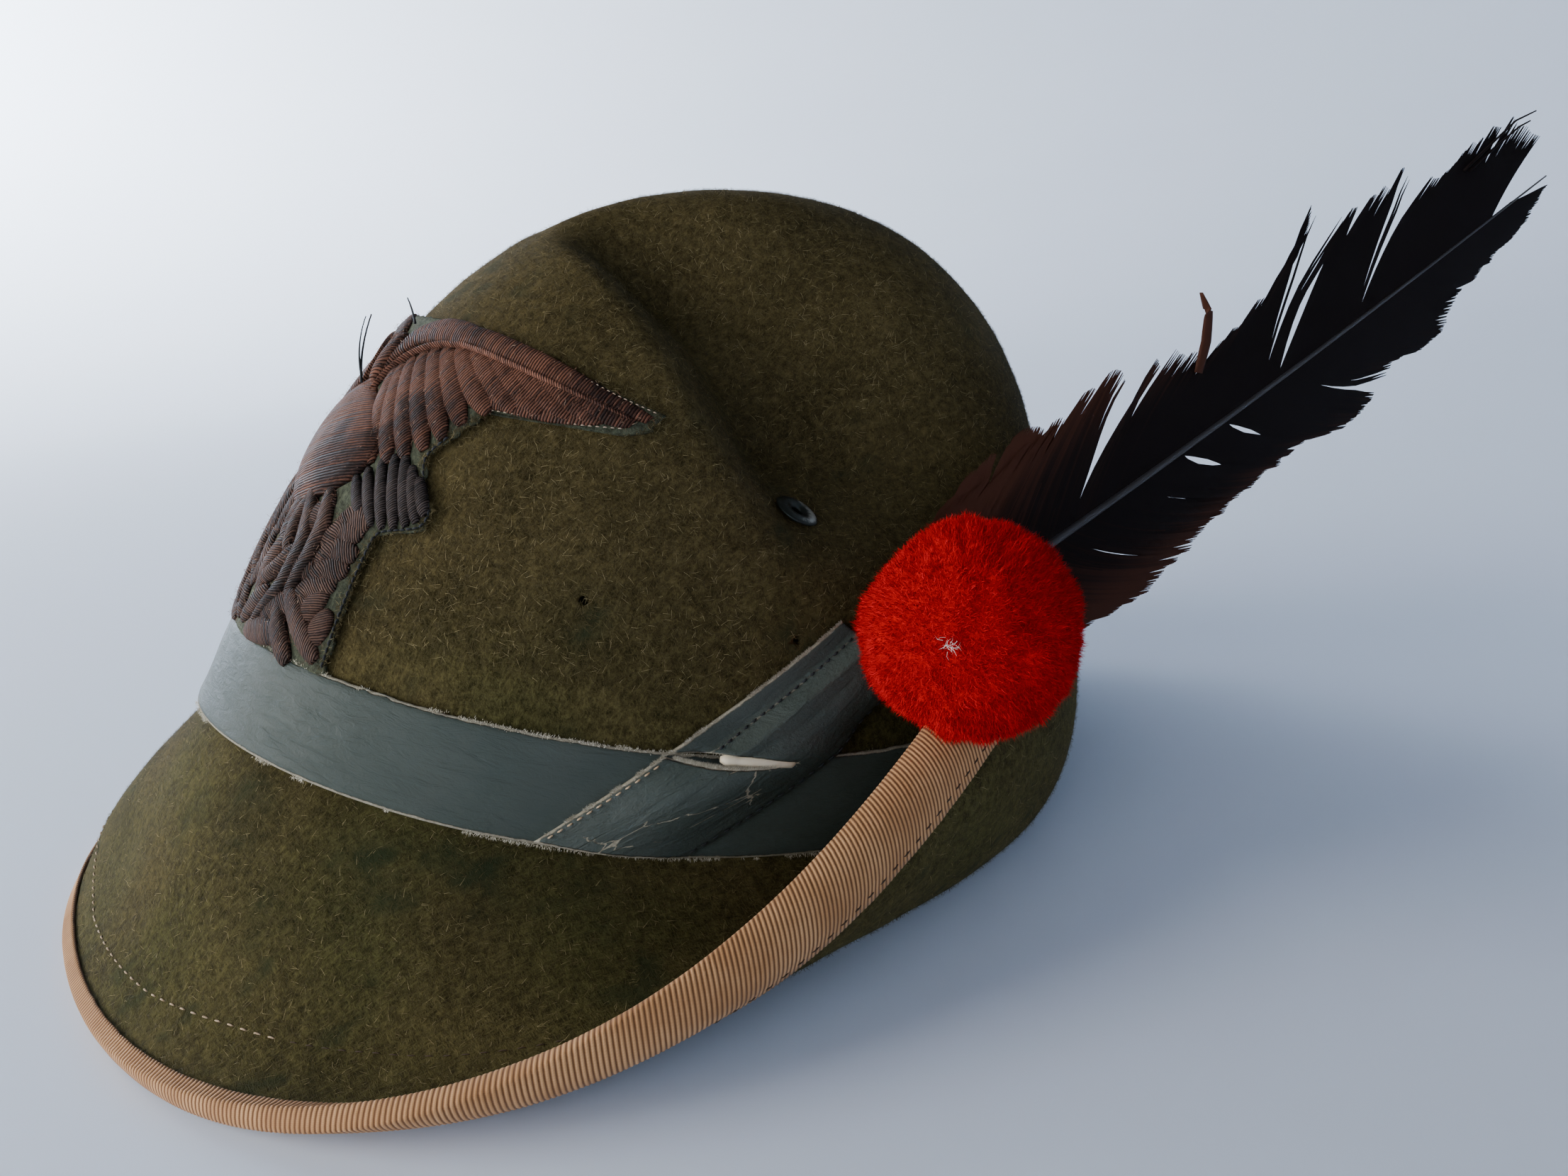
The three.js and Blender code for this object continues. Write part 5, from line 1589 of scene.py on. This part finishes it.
def barb_sheet(axes, length, width, outline, splits, bow, pitch, seed, cup=2.5, brown_at=0.52, lean=1.45):
    """Barbs: from the quill each runs out and forward on a curve to the outline, as a strip that
    narrows to its tip. How far forward follows the outline with its steps smoothed away, and the roots
    stay on the quill's vane. Gives points and faces, and each point's brown and tint."""
    rng = np.random.default_rng(seed)
    bodies, browns, tints = [], [], []
    first, last = outline["along"][0], outline["along"][-1]
    count = int((last - first) * length / pitch)
    for side, column in ((1, "upper"), (-1, "lower")):
        edge = np.linspace(first, last, count) + rng.normal(size=count) * 0.0006
        reach = width * np.interp(edge, outline["along"], outline[column])
        clump = value_noise(stacked(edge * length, 0 * edge + 50 * side, 0 * edge), 2.6, seed + 1)
        wide = value_noise(stacked(edge * length, 0 * edge + 50 * side, 0 * edge), 9, seed + 2)
        reach = reach * (1 + 0.12 * (clump - 0.6) + 0.1 * (wide - 0.5))
        profile = np.interp(edge, outline["along"], outline[column])
        window = count // 9 | 1
        padded = np.pad(profile, window // 2, mode="edge")
        broad = np.convolve(padded, np.ones(window) / window, "valid")
        sweep = lean * width * (0.35 + 0.65 * broad)
        t = np.linspace(0, 1, BARB_STEPS)
        root = np.maximum(edge * length - sweep, 0.1 * length + 0.3 * (edge * length - sweep))
        sweep = edge * length - root
        ahead = root[:, None] + sweep[:, None] * (0.75 * t + 0.25 * t ** 2)
        up = reach[:, None] * (1.18 * t - 0.18 * t ** 2.5)
        ahead = ahead + split_push(splits, side, edge, length, t)
        ahead = ahead + (clump - 0.5)[:, None] * t
        out = -cup * (up / width) ** 2 + 0.5 * (wide - 0.5)[:, None] * t
        out = out + 0.12 * rng.normal(size=(count, 1)) * t
        middle = feather_point(axes, ahead, side * up, out)
        bowed = rachis_point(axes, ahead, length, bow) - feather_point(axes, ahead, 0 * ahead, 0 * ahead)
        middle = middle + bowed
        way = unit(np.gradient(middle, axis=1))
        face = axes[3]
        across = unit(np.cross(way, face))
        thick = pitch * (2.1 if side > 0 else 3.4) * (1 - 0.85 * t ** 6)[None, :, None]
        tilt = 0.14 * side * face
        left = middle + thick * (0.5 * across + tilt)
        right = middle - thick * (0.5 * across + tilt)
        grid = np.stack([left, right], 2)
        faces = grid_faces(BARB_STEPS, 2)
        faces = (faces[None] + 2 * BARB_STEPS * np.arange(count)[:, None, None]).reshape(-1, 4)
        bodies.append((grid.reshape(-1, 3), [faces]))
        browns.append(np.repeat(barb_brown(edge, t, wide, side, brown_at), 2, axis=1).ravel())
        tints.append(np.repeat(rng.random(count), 2 * BARB_STEPS))
    points, faces = joined(bodies)
    return points, faces, np.concatenate(browns), np.concatenate(tints)


def build_long_feather(barbs, quill):
    """Dark feather: its quill tapers from the holder to the tip, with barbs on both sides and a few
    loose strands, each a thin tube along a path."""
    axes = feather_frame()
    points, faces, brown, tint = barb_sheet(axes, FEATHER_LENGTH, VANE_WIDTH, VANE_OUTLINE, VANE_SPLITS,
                                            FEATHER_BOW, 0.34, 91)
    vane = make_piece("feather_barbs", points, faces, barbs,
                      marks={"brown": brown, "tint": tint}, flip=False)
    along = np.linspace(0, FEATHER_LENGTH, 90)
    radius = 0.5 * QUILL_DIAMETER * (1 - 0.86 * (along / FEATHER_LENGTH) ** 0.8)
    points, faces = tube(rachis_point(axes, along, FEATHER_LENGTH, FEATHER_BOW), radius, 12)
    dark = smooth_step((np.append(np.repeat(along, 12), [0, FEATHER_LENGTH]) - 40) / 30)
    make_piece("feather_quill", points, faces, quill, marks={"dark": dark})
    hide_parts("feather")
    stops = np.array(WISP)
    path = feather_point(axes, stops[:, 0], stops[:, 1], np.array([0.0, 0.6, 1.0, 1.2]))
    t = np.linspace(0, 3, 16)
    path = np.stack([np.interp(t, np.arange(4), path[:, i]) for i in range(3)], -1)
    ends = [turned_out(tube(path, 1.7 * np.sin(np.pi * np.linspace(0.3, 0.9, 16)), 6, 0.25))]
    for stops in TIP_STRANDS:
        stops = np.array(stops, float)
        path = np.stack([np.interp(t, np.arange(4), stops[:, i]) for i in range(2)], -1)
        path = feather_point(axes, path[:, 0], path[:, 1], 0 * t)
        ends.append(turned_out(tube(path, np.linspace(0.4, 0.18, 16), 6)))
    points, faces = joined(ends)
    brown = np.where(np.arange(len(points)) < len(ends[0][0]), 1.0, 0.2)
    make_piece("feather_wisp", points, faces, barbs,
               marks={"brown": brown, "tint": np.full(len(points), 0.5)}, flip=False)


def short_feather_axes():
    """Frame of the short feather, leaning up from the long one and behind it."""
    axes = feather_frame()
    _, along, up, side = axes
    lean = np.radians(5)
    foot = feather_point(axes, 0.135 * FEATHER_LENGTH, 2 * QUILL_DIAMETER, -0.7 * QUILL_DIAMETER - GAP)
    return foot, along * np.cos(lean) + up * np.sin(lean), up * np.cos(lean) - along * np.sin(lean), side


SHORT_OUTLINE = {
    "along": (0.25, 0.4, 0.6, 0.8, 0.95, 1.0),
    "upper": (0.3, 0.45, 0.54, 0.5, 0.38, 0.2),
    "lower": (0.25, 0.4, 0.5, 0.45, 0.3, 0.1),
}


def build_short_feather(barbs, quill):
    """Brown feather of the same build."""
    axes = short_feather_axes()
    splits = ((1, 0.7, 0.7, 3, 0), (-1, 0.6, 0.6, 2, 0), (1, 0.9, 0.6, 2.5, 0))
    points, faces, brown, tint = barb_sheet(axes, SHORT_FEATHER_LENGTH, VANE_WIDTH, SHORT_OUTLINE, splits,
                                            0.5, 0.3, 95, cup=1.2, brown_at=2.0, lean=0.8)
    vane = make_piece("short_feather_barbs", points, faces, barbs,
                      marks={"brown": brown, "tint": tint}, flip=False)
    along = np.linspace(0, SHORT_FEATHER_LENGTH, 30)
    radius = 0.2 * QUILL_DIAMETER * (1 - 0.7 * along / SHORT_FEATHER_LENGTH)
    points, faces = tube(rachis_point(axes, along, SHORT_FEATHER_LENGTH, 0.5), radius, 8)
    make_piece("short_feather_quill", points, faces, quill,
               marks={"dark": np.ones(len(points))})
    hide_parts("short_feather")


# Pompom

LINT_DIRECTION = np.array([0.655, -0.706, 0.2])


def pompom_middle():
    axes = feather_frame()
    off = 0.5 * QUILL_DIAMETER + GAP + 0.5 * POMPOM_DIAMETER
    return feather_point(axes, 0.158 * FEATHER_LENGTH, 8, off)


def pompom_grid(radius, rows=90, columns=150):
    """Ball whose radius rises and falls with tufts of three sizes."""
    rise, turn = np.meshgrid(np.linspace(-89, 89, rows), np.linspace(0, 360, columns + 1), indexing="ij")
    rise, turn = np.radians(rise), np.radians(turn)
    way = stacked(np.sin(rise), np.cos(rise) * np.cos(turn), np.cos(rise) * np.sin(turn))
    lumps = 3.4 * (value_noise(way * 20, 11, 101) - 0.5) + 1.9 * (value_noise(way * 20, 5, 102) - 0.5)
    tufts = 1.1 * (value_noise(way * 20, 2, 103) - 0.5)
    return pompom_middle() + way * (radius + lumps + tufts)[..., None], way


def build_pompom(wool, hair, lint):
    """Tufted ball with clipped yarn ends standing out of it, and a few specks of lint."""
    grid, way = pompom_grid(0.5 * POMPOM_DIAMETER - 1.9)
    rings = grid[:, :-1]
    points, faces = ring_body(rings, (rings[0].mean(0), rings[-1].mean(0)))
    ball = make_piece("pompom_wool", points, faces, wool)
    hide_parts("pompom")
    root, _ = scatter(grid, 60000, 104)
    out = unit(root - pompom_middle())
    hairs("pompom_yarn_ends", root, out, 1.7, 0.15, 62, hair, 105, curl=0.6)
    rng = np.random.default_rng(106)
    front = unit(LINT_DIRECTION)
    spot = pompom_middle() + (0.5 * POMPOM_DIAMETER - 0.4) * front
    root = spot + rng.normal(size=(26, 3)) * np.array([0.3, 0.9, 0.6])
    out = np.broadcast_to(front, root.shape)
    hairs("pompom_lint", root, out, 1.6, 0.07, 12, lint, 107, curl=0.9)


# Floor, light and camera

def build_stage():
    """Pale sheet: level near the hat and rising on all sides far from it, turned round the z axis."""
    bend = np.radians(np.linspace(0, 90, 49))
    radius = np.concatenate([np.linspace(0, 1.0, 9)[1:-1], 1.0 + 2.8 * np.sin(bend)])
    height = np.concatenate([np.zeros(7), 2.8 - 2.8 * np.cos(bend)])
    turn = np.radians(np.arange(96) * 360 / 96)
    radius, height = radius[:, None], height[:, None]
    rings = stacked(radius * np.cos(turn), radius * np.sin(turn), height + 0 * turn)
    points, faces = ring_body(rings, (np.zeros(3),))
    mesh = bpy.data.meshes.new("pale_sheet")
    mesh.from_pydata(points.tolist(), [], [face.tolist() for face_set in faces for face in face_set])
    mesh.polygons.foreach_set("use_smooth", np.ones(len(mesh.polygons), bool))
    material, tree, shader = new_material("pale paper", Roughness=0.9, Specular_IOR_Level=0.1)
    finish_with(tree, shader, mixed(tree, noise(tree, 400, detail=2), (0.72, 0.8, 0.93), (0.77, 0.85, 0.975)))
    mesh.materials.append(material)
    floor = bpy.data.objects.new("pale_sheet", mesh)
    bpy.context.scene.collection.objects.link(floor)


CAMERA_PLACE = np.array([299.56, -120.24, 146.45])
CAMERA_TARGET = np.array([30.75, 27.17, 53.73])
CAMERA_ROLL = -0.09
FOCAL_PIXELS = 1856.6
FRAME_PIXELS = 2212


def camera_axes():
    """Right, up and forward directions of the camera, rolled about the way it looks."""
    forward = unit(CAMERA_TARGET - CAMERA_PLACE)
    right = unit(np.cross(forward, [0, 0, 1.0]))
    up = np.cross(right, forward)
    c, s = np.cos(CAMERA_ROLL), np.sin(CAMERA_ROLL)
    return c * right + s * up, -s * right + c * up, forward


def turned_matrix(place, right, up, forward):
    """Object matrix that looks forward from a place in metres."""
    matrix = Matrix.Identity(4)
    for row in range(3):
        values = (right[row], up[row], -forward[row], place[row])
        for column, value in enumerate(values):
            matrix[row][column] = float(value)
    return matrix


def build_camera():
    data = bpy.data.cameras.new("camera")
    data.sensor_width = 36
    data.lens = 36 * FOCAL_PIXELS / FRAME_PIXELS
    data.clip_start = 0.01
    camera = bpy.data.objects.new("camera", data)
    camera.matrix_world = turned_matrix(placed(CAMERA_PLACE), *camera_axes())
    bpy.context.scene.collection.objects.link(camera)
    bpy.context.scene.camera = camera


def build_light(name, place, size, power, colour, aim=(0, 0, 0)):
    """Soft square light at a place that looks at an aim. Both are metres to the camera's left of the
    hat, away from the camera and above the hat's middle."""
    right, _, forward = camera_axes()
    ways = np.stack([-unit(right * [1, 1, 0]), unit(forward * [1, 1, 0]), [0, 0, 1.0]])
    middle = placed(np.array([0, 0, 60.0]))
    look = unit(np.array(aim, float) @ ways - np.array(place, float) @ ways)
    place = middle + np.array(place, float) @ ways
    side = unit(np.cross(look, [0, 0, 1.0]))
    data = bpy.data.lights.new(name, "AREA")
    data.size = size
    data.energy = power
    data.color = colour
    light = bpy.data.objects.new(name, data)
    light.matrix_world = turned_matrix(place, side, np.cross(side, look), look)
    bpy.context.scene.collection.objects.link(light)


def build_world():
    world = bpy.data.worlds.new("room")
    world.use_nodes = True
    background = world.node_tree.nodes["Background"]
    background.inputs["Color"].default_value = (0.86, 0.91, 1.0, 1)
    background.inputs["Strength"].default_value = 0.1
    bpy.context.scene.world = world


def build_all():
    build_camera()
    build_stage()
    build_light("window", (1.7, -0.35, 0.5), 1.2, 43, (1.0, 0.985, 0.96))
    build_light("far_window", (1.9, 1.4, 1.4), 1.0, 210, (0.97, 0.985, 1.0), aim=(1.8, 2.6, 0.1))
    build_light("room_fill", (0.95, -1.7, 0.4), 1.5, 18, (0.98, 0.985, 1.0))
    build_world()
    hair = nap_hair_material("felt hair", (0.026, 0.02, 0.007), (0.11, 0.084, 0.033), (0.3, 0.24, 0.115),
                             0.86)
    cream = nap_hair_material("leather fibres", (0.3, 0.26, 0.18), (0.62, 0.57, 0.43), (0.7, 0.66, 0.52))
    tan_thread = plain_thread_material("tan thread", (0.42, 0.27, 0.15), (0.6, 0.46, 0.3))
    brown_thread = plain_thread_material("brown thread", (0.035, 0.02, 0.012), (0.08, 0.045, 0.025))
    dark_thread = plain_thread_material("dark thread", (0.012, 0.014, 0.016), (0.03, 0.03, 0.032))
    pale_thread = plain_thread_material("pale thread", (0.34, 0.24, 0.16), (0.55, 0.42, 0.3))
    felt = build_felt(felt_material())
    cut_pin_holes(felt)
    build_nap(hair)
    build_binding(binding_material())
    build_brim_stitches(tan_thread, brown_thread)
    leather = leather_material("band leather", 0.62, False)
    build_band(leather)
    build_band_fluff(cream)
    build_holder(leather_material("holder leather", 0.6, True))
    build_holder_seams(tan_thread, dark_thread)
    build_slit_fibres(cream)
    build_quill_end(quill_material())
    build_eyelets(metal_material())
    build_patch(patch_material())
    wings, leaves = build_bird(
        thread_material("copper thread", (0.014, 0.0065, 0.0045), (0.2, 0.08, 0.046)),
        thread_material("rope thread", (0.04, 0.015, 0.009), (0.3, 0.125, 0.075), pitch=0.6, slant=1.2),
        thread_material("purple thread", (0.007, 0.006, 0.006), (0.085, 0.062, 0.055), pitch=0.5),
        thread_material("leaf thread", (0.012, 0.007, 0.0055), (0.14, 0.075, 0.052), slant=0.8))
    frayed = nap_hair_material("frayed thread", (0.05, 0.022, 0.014), (0.2, 0.09, 0.055),
                               (0.42, 0.28, 0.19), 0.85)
    build_badge_fray(wings + leaves, hair, frayed)
    build_badge_threads(pale_thread, dark_thread)
    quill = quill_material()
    build_long_feather(barb_material("dark barbs", (0.0085, 0.0062, 0.006), (0.06, 0.022, 0.013)), quill)
    build_short_feather(barb_material("brown barbs", (0.014, 0.0075, 0.006), (0.065, 0.024, 0.014)), quill)
    red_hair = nap_hair_material("red yarn ends", (0.36, 0.001, 0.003), (0.68, 0.0035, 0.0075),
                                 (0.72, 0.012, 0.02))
    lint = nap_hair_material("lint", (0.5, 0.35, 0.3), (0.8, 0.75, 0.7), (0.9, 0.9, 0.85))
    build_pompom(wool_material(), red_hair, lint)


build_all()
